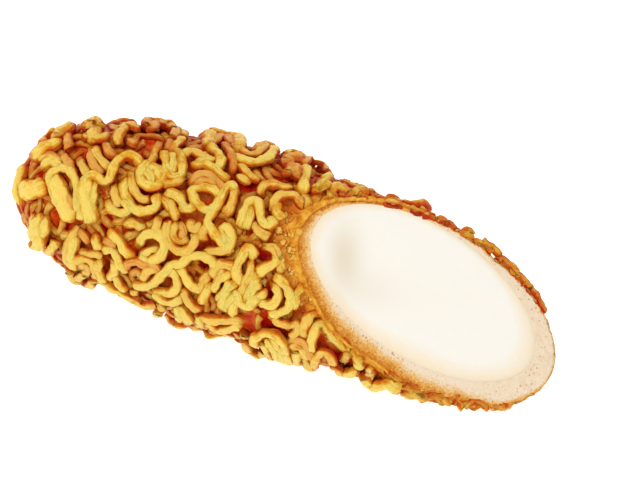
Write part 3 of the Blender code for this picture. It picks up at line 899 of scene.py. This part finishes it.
def bend_noodle(centres, radius, shift, sides=HIDDEN_STRAND_SIDES, fat=False):
    """A copy of the straight noodle, bent along a route; a fat one is a lobe of several run together."""
    outward = over_crust(centres)[1]
    centres_even = evenly(np.hstack([centres, outward]), STRAND_STEP)
    centres, outward = centres_even[:, :3], centres_even[:, 3:]
    stations = len(centres)
    rings = stations + 2 * CAP_RINGS - 1
    blank, ring, side = noodle_blank(sides, rings)
    noodle = blank.copy()
    noodle.data = blank.data.copy()
    noodle.name = "noodle"
    bpy.context.scene.collection.objects.link(noodle)

    ahead = unit(np.gradient(centres, axis=0))
    sideways = np.cross(outward, ahead)
    station_run = np.arange(stations) * STRAND_STEP
    sway = 0.06 * np.sin(station_run * 2.1 + 4 * shift) + 0.09 * np.sin(station_run * 1.1 + 9 * shift)
    lift = 0.08 * np.sin(station_run * 1.7 + 6 * shift)
    centres = centres + sideways * sway[:, None] + outward * lift[:, None]
    ahead = unit(np.gradient(centres, axis=0))
    sideways = unit(sideways)
    upward = np.cross(ahead, sideways)

    station = np.clip(ring - CAP_RINGS, 0, stations - 1)
    cap = np.maximum(CAP_RINGS - ring, ring - (rings - CAP_RINGS))
    cap = np.clip(cap / CAP_RINGS, 0, 1)
    angle = math.tau * side / sides
    run = station * STRAND_STEP
    swell = 1 + 0.10 * np.sin(run * 0.9 + shift) + 0.07 * np.sin(run * 2.3 + 2 * shift)
    from_end = np.minimum(station, stations - 1 - station) * STRAND_STEP
    knobs = 1 + 0.05 * np.sin(run * 3.0 + 3 * angle + 5 * shift) * np.sin(run * 1.3 - 2 * angle + shift)
    if fat:
        form = lobe_form(angle, run, from_end, cap, shift, radius)
    else:
        form = strand_form(angle, run, from_end, cap, shift)
    narrowing, reach, flare, ridges, slant = form
    beyond = np.where(ring < CAP_RINGS, -1, 1) * reach
    width = radius * swell * ridges * narrowing * flare * knobs
    points = (
        centres[station]
        + ahead[station] * ((beyond + slant * narrowing) * radius * (cap > 0))[:, None]
        + sideways[station] * (width * np.cos(angle))[:, None]
        + upward[station] * (FLATNESS * width * np.sin(angle))[:, None]
    )
    points = points + CUT_NORMAL * np.minimum(under_cut(points), 0)[:, None]
    points[:, 2] = np.maximum(points[:, 2], 0.0)
    place(noodle, points)
    write_attribute(noodle, "strand", np.full(len(points), shift % 1.0 + FAT_PALENESS * fat))
    round_and_run = [np.cos(angle) + 9 * shift, np.sin(angle), run * STREAK_LENGTH + beyond * 0.3]
    write_directions(noodle, "streak", np.stack(round_and_run, axis=-1))
    return noodle


def keep_in(centres, radius):
    """Keeps a noodle over the floor, and most of it under the knife's plane."""
    over = np.maximum(UNDER_KNIFE * radius - under_cut(centres), 0)
    centres = centres - CUT_NORMAL * over[:, None]
    centres[:, 2] = np.maximum(centres[:, 2], OVER_FLOOR * radius)
    return centres


def lay_seen(pile, thickness, pixels, number):
    """Lays a noodle where the picture shows it."""
    radius = STRAND_RADIUS * thickness
    rest = REST_HEIGHT * thickness
    path = curve_through(pixels, PIXEL_STEP)
    centres = seen_at(path, np.full(len(path), rest))
    centres_even = evenly(np.hstack([centres, path]), ROUTE_STEP)
    path = centres_even[:, 3:]
    ground = onto_crust(centres_even[:, :3], np.zeros(len(path)))
    height = settled(pile.needed(ground, radius, rest), rest)
    centres = seen_at(path, height)
    real, outward = over_crust(centres)
    centres = centres - outward * np.maximum(real - height - LIFT_ALLOWED, 0)[:, None]
    for _ in range(CENTRE_ROUNDS):
        centres = averaged(centres)
    ground = onto_crust(centres, np.zeros(len(centres)))
    pile.lay(ground, over_crust(centres)[0])
    centres = keep_in(centres, radius)
    shift = number * SHADE_STEP
    if thickness >= FAT_FROM:
        return bend_noodle(centres, radius, shift, FAT_SIDES, True)
    return bend_noodle(centres, radius, shift, STRAND_SIDES)


# Noodles laid by rule: how many routes are tried, how long and thick they are, and which are kept
FIRST_ROUTES = 900
SECOND_ROUTES = 500
GAP_ROUTES = 2000
ROUTE_STEPS = 44
GAP_ROUTE_STEPS = 22
SECOND_LAYER = 60
SHORTEST_DRAW = 12
SHORTEST_ROUTE = 10
SHORTEST_IN_GAPS = 9
ROUTES_START = (3, 140)
TIGHTNESS = (0.20, 0.36)
THICKNESS = (0.9, 1.12)
THICKNESS_AT_RIM = (0.8, 1.05)
THICKNESS_IN_GAPS = (0.75, 1.0)
LARGEST_SHIFT = 50
COVER_REACH = 1.9
PAST_CUT = -1.5
CLEAR_OF_CUT = 0.3
GAPS_CLEAR_OF_CUT = 4.0
SEEN_SLOPE = 0.12


def along_crust(heading, outward):
    """Headings turned to run along the crust."""
    return unit(heading - outward * (heading * outward).sum(axis=1)[:, None])


def walk_routes(chance, count, steps):
    """Routes that wander over the crust: arches, waves, hooks and curls, all at once."""
    along = chance.uniform(*ROUTES_START, count)
    angle = chance.uniform(0, math.tau, count)
    point = crust_point(along, angle)
    outward = over_crust(point)[1]
    heading = along_crust(chance.normal(size=(count, 3)), outward)
    form = chance.integers(0, 4, count)
    turn = chance.choice([-1.0, 1.0], count)
    tightness = chance.uniform(*TIGHTNESS, count)
    phase = chance.uniform(0, math.tau, count)
    routes = [point]
    for step in range(steps):
        run = step * ROUTE_STEP
        wave = 1.5 * tightness * np.sin(run * 0.62 + phase)
        hook = np.where(run > 5, 1.5 * tightness, 0.25 * tightness)
        curl = tightness * (1.25 + 0.9 * np.sin(run * 0.5 + phase))
        bend = turn * np.choose(form, [tightness, wave, hook, curl]) * ROUTE_STEP
        sideways = np.cross(outward, heading)
        heading = heading * np.cos(bend)[:, None] + sideways * np.sin(bend)[:, None]
        point = onto_crust(point + heading * ROUTE_STEP, np.zeros(count))
        outward = over_crust(point)[1]
        heading = along_crust(heading, outward)
        routes.append(point)
    return np.stack(routes, axis=1)


def in_sight(points):
    """Which points of the crust the camera sees well."""
    outward = over_crust(points)[1]
    toward = unit(CAMERA_PLACE - points)
    return (outward * toward).sum(axis=-1) > SEEN_SLOPE


def lay_wandering(pile, chance, routes, crowding, sight_limit):
    """Lays the routes that fall where there is still room, and returns their noodles."""
    laid = []
    for route in routes:
        route = route[:int(chance.uniform(SHORTEST_DRAW, len(route)))]
        inside = (under_cut(route) > PAST_CUT) & (route[:, 0] - TIP_X < BARE_FROM)
        if not inside.all():
            route = route[:int(np.argmin(inside))]
        if len(route) < SHORTEST_ROUTE:
            continue
        if in_sight(route).mean() > sight_limit:
            continue
        if pile.share_covered(route, COVER_REACH) > crowding:
            continue
        radius = STRAND_RADIUS * chance.uniform(*THICKNESS)
        height = settled(pile.needed(route, radius, REST_HEIGHT), REST_HEIGHT)
        centres = onto_crust(route, height)
        for _ in range(CENTRE_ROUNDS):
            centres = averaged(centres)
        pile.lay(route, over_crust(centres)[0])
        centres = keep_in(centres, radius)
        laid.append(bend_noodle(centres, radius, chance.uniform(0, LARGEST_SHIFT)))
    return laid


def lay_round_rim(pile, chance):
    """Short noodles that hang down from the cut's rim."""
    rest = 0.3
    highest = 1.2
    laid = []
    for first, last in RIM_ARCS:
        start = first
        while start < last:
            down = np.arange(int(chance.uniform(7, 18))) * ROUTE_STEP
            round_it = -1 if start < 90 else 1
            sway = 0.8 * np.sin(down * chance.uniform(0.6, 1.2) + chance.uniform(0, 6))
            angles = np.radians(start) + round_it * down / CRUST_RADIUS
            top = where_cut(crust_point, np.radians([start]))[0] - chance.uniform(0.4, 1.4)
            along = top - down * chance.uniform(-0.6, 0.9) + sway - sway[0]
            route = onto_crust(evenly(crust_point(along, angles), ROUTE_STEP), np.zeros(1))
            start += chance.uniform(4.0, 7.0)
            if under_cut(route).min() < CLEAR_OF_CUT or route[:, 0].max() - TIP_X > RIM_BARE_FROM:
                continue
            radius = STRAND_RADIUS * chance.uniform(*THICKNESS_AT_RIM)
            height = settled(np.minimum(pile.needed(route, radius, rest), highest), rest)
            centres = onto_crust(route, height)
            pile.lay(route, height)
            centres = keep_in(centres, radius)
            laid.append(bend_noodle(centres, radius, chance.uniform(0, LARGEST_SHIFT)))
    return laid


def lay_in_gaps(pile, chance, routes):
    """Short noodles, half sunk in the crust, where the laid ones leave it bare."""
    gaps = Pile()
    end_dip = np.array([0.5, 0.3, 0.1])
    laid = []
    for route in routes:
        route = route[:int(chance.uniform(SHORTEST_IN_GAPS, len(route)))]
        if under_cut(route).min() < GAPS_CLEAR_OF_CUT or route[:, 0].max() - TIP_X > BARE_FROM:
            continue
        covered = pile.share_covered(route, 1.4) > 0.85
        crowded = gaps.share_covered(route, 1.3) > 0.5
        if covered or crowded:
            continue
        radius = STRAND_RADIUS * chance.uniform(*THICKNESS_IN_GAPS)
        height = np.full(len(route), chance.uniform(0.3, 0.95))
        height[:3] -= end_dip
        height[-3:] -= end_dip[::-1]
        centres = onto_crust(route, height)
        gaps.lay(route, height)
        centres = keep_in(centres, radius)
        laid.append(bend_noodle(centres, radius, chance.uniform(0, LARGEST_SHIFT)))
    return laid, gaps


def join_up(name, parts):
    """One piece of many noodles or crumbs, whose faces point outwards from the start."""
    deselect()
    for part in parts:
        part.select_set(True)
    bpy.context.view_layer.objects.active = parts[0]
    bpy.ops.object.join()
    piece = bpy.context.active_object
    piece.name = name
    shade_smooth(piece, SHARP_NOODLE_EDGE)

    # how high over the crust each spot is, and how much it faces out, for the painted shade low down and
    # the painted light on the crowns
    points = places_of(piece) / MM
    height, outward = over_crust(points)
    normals = np.zeros(len(points) * 3)
    piece.data.vertices.foreach_get("normal", normals)
    facing = (normals.reshape(-1, 3) * outward).sum(axis=1)
    at_cut = under_cut(points) < 0.02
    facing = np.where(at_cut, FACING_AT_CUT, facing)
    low_end = smooth((points[:, 0] - TIP_X - LOW_END_FROM) / LOW_END_RUN)
    write_attribute(piece, "height", height + LOW_END_PALENESS * low_end)
    write_attribute(piece, "facing", facing)
    return piece


def make_noodles():
    """All noodles: those in the picture, then those on the sides that it does not show."""
    pile = Pile()
    chance = np.random.default_rng(SEED)
    kinds = {"yellow": [], "golden": [], "browned": []}
    number = 1
    for kind, seen in (("browned", BROWNED_SEEN), ("golden", GOLDEN_SEEN), ("yellow", YELLOW_SEEN)):
        for thickness, pixels in seen:
            kinds[kind].append(lay_seen(pile, thickness, pixels, number))
            number += 1
    rim = lay_round_rim(pile, chance)
    routes = walk_routes(chance, FIRST_ROUTES, ROUTE_STEPS)
    first = lay_wandering(pile, chance, routes, crowding=0.4, sight_limit=0.25)
    routes = walk_routes(chance, SECOND_ROUTES, ROUTE_STEPS)
    second = lay_wandering(pile, chance, routes, crowding=0.8, sight_limit=0.15)
    routes = walk_routes(chance, GAP_ROUTES, GAP_ROUTE_STEPS)
    under, gaps = lay_in_gaps(pile, chance, routes)
    for extra in second[SECOND_LAYER:]:
        bpy.data.objects.remove(extra)
    kinds["browned"] += under[::2]
    kinds["golden"] += under[1::2]
    kinds["browned"] += rim[::6]
    kinds["golden"] += rim[1::3]
    kinds["yellow"] += rim[2::3] + rim[3::6]
    for index, noodle in enumerate(first + second[:SECOND_LAYER]):
        kinds[("yellow", "golden", "yellow", "browned")[index % 4]].append(noodle)
    pieces = {kind: join_up("noodles_" + kind, noodles) for kind, noodles in kinds.items()}
    return pieces, np.vstack([pile.ground, gaps.ground])


def clear_blanks():
    """The straight noodles have done their work."""
    for blank, _, _ in BLANKS.values():
        bpy.data.objects.remove(blank)


# Crumbs that show in the picture: pixel, radius in millimetres
CRUMBS_SEEN = [
    ((98, 190), 0.4), ((102, 197), 0.5), ((95, 205), 0.4), ((103, 211), 0.5), ((107, 192), 0.35),
    ((100, 203), 0.35), ((97, 213), 0.4), ((110, 199), 0.4), ((94, 197), 0.3), ((106, 206), 0.3),
    ((371, 369), 1.5), ((279, 231), 0.9), ((284, 216), 0.7), ((287, 221), 0.6), ((293, 257), 0.7),
    ((290, 269), 0.6), ((296, 272), 0.5), ((264, 281), 0.6), ((262, 246), 0.5), ((143, 143), 0.7),
    ((302, 303), 0.5), ((311, 299), 0.5), ((318, 165), 0.8), ((313, 170), 0.6), ((346, 357), 0.7),
    ((290, 250), 0.7), ((292, 236), 0.8), ((298, 232), 0.6), ((324, 329), 0.6), ((283, 243), 0.7),
]
CRUMBS_IN_CLUSTER = 5
CLUSTER_SPREAD = 2.2
ALL_CRUMBS = 1400
SHARE_NEAR_RIM = 0.7
MOST_CRUMBS_AT = math.pi * 0.62
UNEVENNESS = 0.5


def make_crumbs():
    """Bits of batter, mostly near the rim."""
    chance = random.Random(SEED)
    deselect()
    bpy.ops.mesh.primitive_ico_sphere_add(subdivisions=2, radius=1)
    blank = bpy.context.active_object
    shape = places_of(blank)
    spots = []
    for pixel, size in CRUMBS_SEEN:
        point = seen_at(np.array([pixel], float), np.array([0.2]))[0]
        spots.append((point, size))
        for _ in range(CRUMBS_IN_CLUSTER):
            beside = [coordinate + chance.gauss(0, CLUSTER_SPREAD) for coordinate in pixel]
            point = seen_at(np.array([beside]), np.array([chance.uniform(0, 0.6)]))[0]
            spots.append((point, size * chance.uniform(0.3, 0.8)))
    while len(spots) < ALL_CRUMBS:
        near = chance.random() < SHARE_NEAR_RIM
        angle = chance.gauss(MOST_CRUMBS_AT, 0.75) if near else chance.uniform(0, math.tau)
        end = float(where_cut(crust_point, np.array([angle]))[0])
        along = end - abs(chance.gauss(0.8, 3.4)) if near else chance.uniform(2, end)
        size = chance.uniform(0.12, 0.42) if near else chance.uniform(0.12, 0.3)
        point = crust_point(np.array([along]), np.array([angle]))[0]
        if under_cut(point) > CLEAR_OF_CUT and point[2] > 1.0:
            spots.append((point, size))
    crumbs = []
    for point, size in spots:
        crumb = blank.copy()
        crumb.data = blank.data.copy()
        bpy.context.scene.collection.objects.link(crumb)
        point = point + over_crust(point)[1] * 0.5 * size
        stretch = np.array([chance.uniform(0.55, 1.45) for _ in range(3)])
        shift = Vector([chance.uniform(0, 99) for _ in range(3)])
        uneven = np.array([1 + UNEVENNESS * noise.noise(Vector(corner) * 1.3 + shift) for corner in shape])
        place(crumb, point + shape * stretch * uneven[:, None] * size)
        write_attribute(crumb, "strand", np.full(len(shape), chance.random()))
        crumbs.append(crumb)
    bpy.data.objects.remove(blank)
    return join_up("crumbs", crumbs)


def paint(red, green, blue):
    """A colour read off a screen, as the renderer wants it."""
    def linear(level):
        level = level / 255
        return level / 12.92 if level <= 0.04045 else ((level + 0.055) / 1.055) ** 2.4
    return (linear(red), linear(green), linear(blue), 1.0)


class Finish:
    """A material, with short words for the nodes it needs."""

    def __init__(self, name):
        self.material = bpy.data.materials.new(name)
        self.material.use_nodes = True
        self.tree = self.material.node_tree
        self.shader = self.tree.nodes["Principled BSDF"]
        self.place = self.add("ShaderNodeTexCoord").outputs["Object"]

    def add(self, kind, **settings):
        """A new node with its settings."""
        node = self.tree.nodes.new(kind)
        for setting, value in settings.items():
            setattr(node, setting, value)
        return node

    def link(self, source, target):
        """Joins two sockets."""
        self.tree.links.new(source, target)

    def number(self, operation, first, second=None, third=None):
        """A sum, product or other mix of numbers or sockets."""
        node = self.add("ShaderNodeMath", operation=operation)
        for socket, value in zip(node.inputs, (first, second, third)):
            if value is None:
                continue
            if isinstance(value, (int, float)):
                socket.default_value = value
            else:
                self.link(value, socket)
        return node.outputs[0]

    def with_some(self, base, value, strength, less=0.0):
        """A number with some of another added, and a steady amount taken off."""
        if less:
            base = self.number("SUBTRACT", base, less)
        return self.number("MULTIPLY_ADD", value, strength, base)

    def attribute(self, name):
        """A number that the mesh holds."""
        return self.add("ShaderNodeAttribute", attribute_name=name).outputs["Fac"]

    def cloud(self, size, detail=3, rough=0.55):
        """Noise of a size in millimetres, about 0 to 1."""
        node = self.add("ShaderNodeTexNoise")
        node.inputs["Scale"].default_value = 1 / (size * MM)
        node.inputs["Detail"].default_value = detail
        node.inputs["Roughness"].default_value = rough
        self.link(self.place, node.inputs["Vector"])
        return node.outputs["Fac"]

    def streaks(self, scale, detail=3):
        """Noise drawn out along each noodle."""
        node = self.add("ShaderNodeTexNoise")
        node.inputs["Scale"].default_value = scale
        node.inputs["Detail"].default_value = detail
        node.inputs["Roughness"].default_value = 0.6
        place = self.add("ShaderNodeAttribute", attribute_name="streak").outputs["Vector"]
        self.link(place, node.inputs["Vector"])
        return node.outputs["Fac"]

    def cells(self, size):
        """The distance to scattered specks, 0 at each."""
        node = self.add("ShaderNodeTexVoronoi")
        node.inputs["Scale"].default_value = 1 / (size * MM)
        self.link(self.place, node.inputs["Vector"])
        return node.outputs["Distance"]

    def spread(self, value, low, high, new_low=0.0, new_high=1.0):
        """A number's range, stretched to another with soft ends."""
        node = self.add("ShaderNodeMapRange", interpolation_type="SMOOTHSTEP")
        self.link(value, node.inputs["Value"])
        node.inputs["From Min"].default_value = low
        node.inputs["From Max"].default_value = high
        node.inputs["To Min"].default_value = new_low
        node.inputs["To Max"].default_value = new_high
        return node.outputs["Result"]

    def ramp(self, value, stops):
        """Colours in order along a number."""
        node = self.add("ShaderNodeValToRGB")
        first, last = node.color_ramp.elements
        first.position, first.color = stops[0]
        last.position, last.color = stops[-1]
        for position, colour in stops[1:-1]:
            stop = node.color_ramp.elements.new(position)
            stop.color = colour
        self.link(value, node.inputs["Fac"])
        return node.outputs["Color"]

    def mix(self, share, first, second):
        """One colour over another by a share."""
        node = self.add("ShaderNodeMix", data_type="RGBA")
        for socket, value in ((node.inputs[0], share), (node.inputs[6], first), (node.inputs[7], second)):
            if isinstance(value, (tuple, int, float)):
                socket.default_value = value
            else:
                self.link(value, socket)
        return node.outputs[2]

    def bumps(self, height, strength, distance):
        """Relief too fine for the mesh."""
        node = self.add("ShaderNodeBump")
        node.inputs["Strength"].default_value = strength
        node.inputs["Distance"].default_value = distance * MM
        self.link(height, node.inputs["Height"])
        self.link(node.outputs["Normal"], self.shader.inputs["Normal"])

    def gloss(self, roughness, specular):
        """How dull the surface is, and how strongly it mirrors."""
        self.shader.inputs["Specular IOR Level"].default_value = specular
        if isinstance(roughness, (int, float)):
            self.shader.inputs["Roughness"].default_value = roughness
        else:
            self.link(roughness, self.shader.inputs["Roughness"])

    def let_light_in(self, share, reach, depth):
        """Light that spreads inside: its share, how far each colour goes, and the depth in millimetres."""
        self.shader.inputs["Subsurface Weight"].default_value = share
        self.shader.inputs["Subsurface Radius"].default_value = reach
        self.shader.inputs["Subsurface Scale"].default_value = depth * MM

    def colour(self, socket):
        """The surface's own colour."""
        self.link(socket, self.shader.inputs["Base Color"])


def noodle_finish(name, deep, low, middle, light, palest, streaky=True):
    """Fried noodle: darker low down by the crust, partly its fried colour and partly painted shade, and
    paler on its crown by painted light.
    """
    finish = Finish(name)
    # painted shade low down between the noodles, painted light on the crowns that face out
    high_up = finish.spread(finish.attribute("height"), -0.3, 3.1)
    crown_light = finish.spread(finish.attribute("facing"), 0.25, 1.0)
    tone = finish.number("MULTIPLY", high_up, 0.46)
    tone = finish.with_some(tone, crown_light, 0.62)
    tone = finish.with_some(tone, finish.cloud(3.4, 3), 1.1, less=0.72)
    tone = finish.with_some(tone, finish.attribute("strand"), 0.20)
    across = finish.add("ShaderNodeSeparateXYZ")
    finish.link(finish.place, across.inputs[0])
    toward_back = finish.spread(across.outputs["Y"], -20 * MM, 20 * MM, -0.08, 0.10)
    tone = finish.number("SUBTRACT", tone, toward_back)
    tone = finish.with_some(tone, finish.cloud(0.7, 3, 0.7), 0.4, less=0.22)
    relief = finish.cloud(0.5, 3, 0.7)
    if streaky:
        streak = finish.streaks(2.2)
        tone = finish.with_some(tone, streak, 0.8, less=0.36)
        relief = finish.with_some(relief, streak, 2.6)
    else:
        tone = finish.number("ADD", tone, 0.2)
    colours = finish.ramp(tone, [
        (0.08, deep), (0.32, low), (0.56, middle), (0.78, light), (1.0, palest),
    ])
    finish.colour(colours)
    finish.gloss(0.42, 0.15)
    finish.bumps(relief, 1.0, 0.4)
    finish.let_light_in(0.18, (1.0, 0.38, 0.08), 1.2)
    return finish.material


def crust_finish():
    """Batter: deep red-brown and glossy outside, golden at the rim, cream crumb where it is cut."""
    finish = Finish("fried_batter")
    crumb = finish.attribute("crumb")

    # between the noodles
    # darker in the pits and lighter on the lumps of the relief: painted shade
    tone = finish.with_some(finish.cloud(6.0, 4, 0.6), finish.attribute("hollow"), 0.35)
    tone = finish.with_some(tone, finish.attribute("drawn_up"), 0.30, less=0.15)
    # darker red in the deep gaps between the noodles: partly the batter's own red, partly painted shade
    tone = finish.with_some(tone, finish.attribute("gap_shade"), -0.44)
    outside = finish.ramp(tone, [
        (0.08, paint(136, 4, 4)), (0.20, paint(160, 8, 4)), (0.32, paint(190, 22, 6)),
        (0.46, paint(216, 70, 16)), (0.60, paint(230, 120, 34)), (0.78, paint(240, 164, 62)),
    ])

    # the rim
    grit = finish.cloud(0.9, 4, 0.7)
    golden_tone = finish.with_some(finish.number("MULTIPLY", grit, 0.4), finish.cloud(2.6, 4), 0.6)
    golden = finish.ramp(golden_tone, [
        (0.28, paint(150, 70, 12)), (0.42, paint(206, 124, 30)), (0.52, paint(234, 164, 52)),
        (0.66, paint(246, 194, 84)), (0.80, paint(252, 222, 134)),
    ])
    edge = finish.with_some(finish.attribute("rim"), finish.cloud(3.0, 3), 5.0, less=2.5)
    outside = finish.mix(finish.spread(edge, 1.2, 4.6, 1.0, 0.0), outside, golden)
    pale_lip = finish.with_some(finish.attribute("pale_lip"), grit, 0.8, less=0.4)
    outside = finish.mix(finish.spread(pale_lip, 0.1, 0.8, 0.0, 0.9), outside, paint(236, 200, 152))

    # the cut crumb
    mottle = finish.with_some(crumb, finish.cloud(0.6, 4, 0.8), 1.9, less=1.26)
    crumb_tone = finish.with_some(mottle, finish.cloud(3.4, 3), 0.6)
    inside = finish.ramp(crumb_tone, [
        (0.0, paint(196, 112, 28)), (0.26, paint(222, 150, 56)), (0.52, paint(236, 182, 98)),
        (0.76, paint(238, 202, 148)), (1.0, paint(240, 220, 192)),
    ])
    specks = finish.spread(finish.cells(1.1), 0.12, 0.34, 1.0, 0.0)
    sparse = finish.spread(finish.cloud(2.0, 2), 0.42, 0.62)
    inside = finish.mix(finish.number("MULTIPLY", specks, sparse), inside, paint(208, 138, 84))
    fine = finish.spread(finish.cells(0.7), 0.10, 0.32, 1.0, 0.0)
    fried = finish.spread(finish.with_some(crumb, finish.cloud(1.3, 2), 2.0), 0.9, 3.2, 0.9, 0.0)
    inside = finish.mix(finish.number("MULTIPLY", fine, fried), inside, paint(196, 112, 44))
    dull_patches = finish.spread(finish.cloud(1.5, 4, 0.75), 0.44, 0.64, 0.0, 0.5)
    on_cream = finish.spread(crumb, 1.0, 2.6)
    inside = finish.mix(finish.number("MULTIPLY", dull_patches, on_cream), inside, paint(230, 198, 156))
    on_crumb = finish.attribute("inner")
    finish.colour(finish.mix(on_crumb, outside, inside))
    dull = finish.spread(edge, 1.0, 5.0, 0.62, 0.22)
    finish.gloss(finish.number("MAXIMUM", dull, finish.number("MULTIPLY", on_crumb, 0.7)), 0.04)
    finish.bumps(grit, 0.8, 0.4)
    return finish.material


def cheese_finish():
    """Fresh white cheese, a little translucent, creamy towards its skin, with patches of painted shade on
    its cut face.
    """
    finish = Finish("white_cheese")
    near = finish.with_some(finish.attribute("edge"), finish.cloud(0.8, 3, 0.7), 0.5, less=0.45)
    near = finish.with_some(near, finish.cloud(4.0, 3), 0.4)
    colour = finish.ramp(near, [
        (0.0, paint(243, 222, 188)), (0.35, paint(243, 228, 202)), (0.7, paint(243, 234, 218)),
        (1.0, paint(244, 239, 229)),
    ])
    # painted shade in patches on the cut face
    finish.colour(finish.mix(finish.attribute("shade"), colour, paint(222, 208, 180)))
    finish.gloss(0.5, 0.4)
    finish.bumps(finish.cloud(0.8, 3), 0.12, 0.15)
    finish.let_light_in(0.2, (1.0, 0.85, 0.65), 1.0)
    return finish.material


def floor_finish():
    """A pale floor that glows a little, so that shadows on it stay faint."""
    floor = Finish("pale_floor")
    floor.shader.inputs["Base Color"].default_value = (0.85, 0.86, 0.87, 1)
    floor.shader.inputs["Emission Color"].default_value = (1, 1, 1, 1)
    floor.shader.inputs["Emission Strength"].default_value = 0.6
    floor.gloss(0.7, 0.2)
    return floor.material


def dress(piece, material, slot, *nodes):
    """Gives a piece its material, and says what it belongs to."""
    piece.data.materials.clear()
    piece.data.materials.append(material)
    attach(piece, "root")
    if nodes:
        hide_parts(*nodes)


def add_camera():
    """The photograph's camera."""
    deselect()
    bpy.ops.object.camera_add(location=tuple(CAMERA_PLACE * MM))
    camera = bpy.context.active_object
    camera.name = "camera"
    camera.rotation_mode = "QUATERNION"
    camera.rotation_quaternion = Vector(-SIGHT_BACK).to_track_quat("-Z", "Y")
    camera.data.lens = LENS
    camera.data.sensor_width = SENSOR
    camera.data.clip_start = 0.01
    camera.data.clip_end = 20
    bpy.context.scene.camera = camera


# The studio, in metres
LIGHTS_AIM = (0, 0, 0.02)
FLOOR_SIZE = 6
FLOOR_LEVEL = -0.0002
SKY_STRENGTH = 0.80


def add_light(name, place_at, size, power, colour):
    """A square soft light that points at the food."""
    deselect()
    bpy.ops.object.light_add(type="AREA", location=place_at)
    light = bpy.context.active_object
    light.name = name
    light.data.size = size
    light.data.energy = power
    light.data.color = colour
    light.rotation_mode = "QUATERNION"
    light.rotation_quaternion = (Vector(LIGHTS_AIM) - Vector(place_at)).to_track_quat("-Z", "Y")


def add_studio():
    """A pale floor and soft light."""
    deselect()
    bpy.ops.mesh.primitive_plane_add(size=FLOOR_SIZE, location=(0, 0, FLOOR_LEVEL))
    floor = bpy.context.active_object
    floor.name = "floor"
    floor.data.materials.append(floor_finish())
    world = bpy.data.worlds.new("studio")
    bpy.context.scene.world = world
    world.use_nodes = True
    backdrop = world.node_tree.nodes["Background"]
    backdrop.inputs["Color"].default_value = (1.0, 1.0, 1.0, 1)
    backdrop.inputs["Strength"].default_value = SKY_STRENGTH
    add_light("key", (-0.26, -0.04, 0.60), 0.22, 1.0, (1.0, 0.98, 0.95))
    add_light("fill", (0.30, -0.35, 0.50), 0.50, 0.7, (1.0, 1.0, 1.0))
    bpy.context.scene.view_settings.view_transform = "Standard"


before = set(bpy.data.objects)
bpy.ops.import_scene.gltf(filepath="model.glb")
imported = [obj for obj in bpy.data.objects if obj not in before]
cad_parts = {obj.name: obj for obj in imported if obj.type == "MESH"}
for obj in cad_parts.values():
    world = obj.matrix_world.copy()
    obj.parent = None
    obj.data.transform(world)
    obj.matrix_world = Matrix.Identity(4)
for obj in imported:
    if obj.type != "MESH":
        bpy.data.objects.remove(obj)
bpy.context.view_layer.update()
add_camera()

noodles, laid_points = make_noodles()
clear_blanks()
crust = make_crust(laid_points)
cheese = make_cheese()
crumbs = make_crumbs()

yellow = noodle_finish("noodle_yellow", paint(208, 58, 2), paint(220, 96, 6), paint(228, 142, 26),
                       paint(236, 174, 42), paint(253, 216, 102))
golden = noodle_finish("noodle_golden", paint(200, 48, 2), paint(212, 84, 8), paint(221, 124, 24),
                       paint(231, 156, 40), paint(249, 202, 90))
crumb_gold = noodle_finish("crumb_gold", paint(206, 88, 12), paint(226, 134, 34), paint(240, 172, 62),
                           paint(248, 198, 92), paint(252, 216, 126), streaky=False)
browned = noodle_finish("noodle_browned", paint(186, 40, 2), paint(202, 74, 10), paint(214, 108, 26),
                        paint(226, 140, 44), paint(240, 174, 76))
dress(crust, crust_finish(), "batter", "batter")
dress(cheese, cheese_finish(), "cheese", "cheese")
dress(noodles["yellow"], yellow, "noodles")
dress(noodles["golden"], golden, "noodles")
dress(noodles["browned"], browned, "noodles")
dress(crumbs, crumb_gold, "batter")

add_studio()
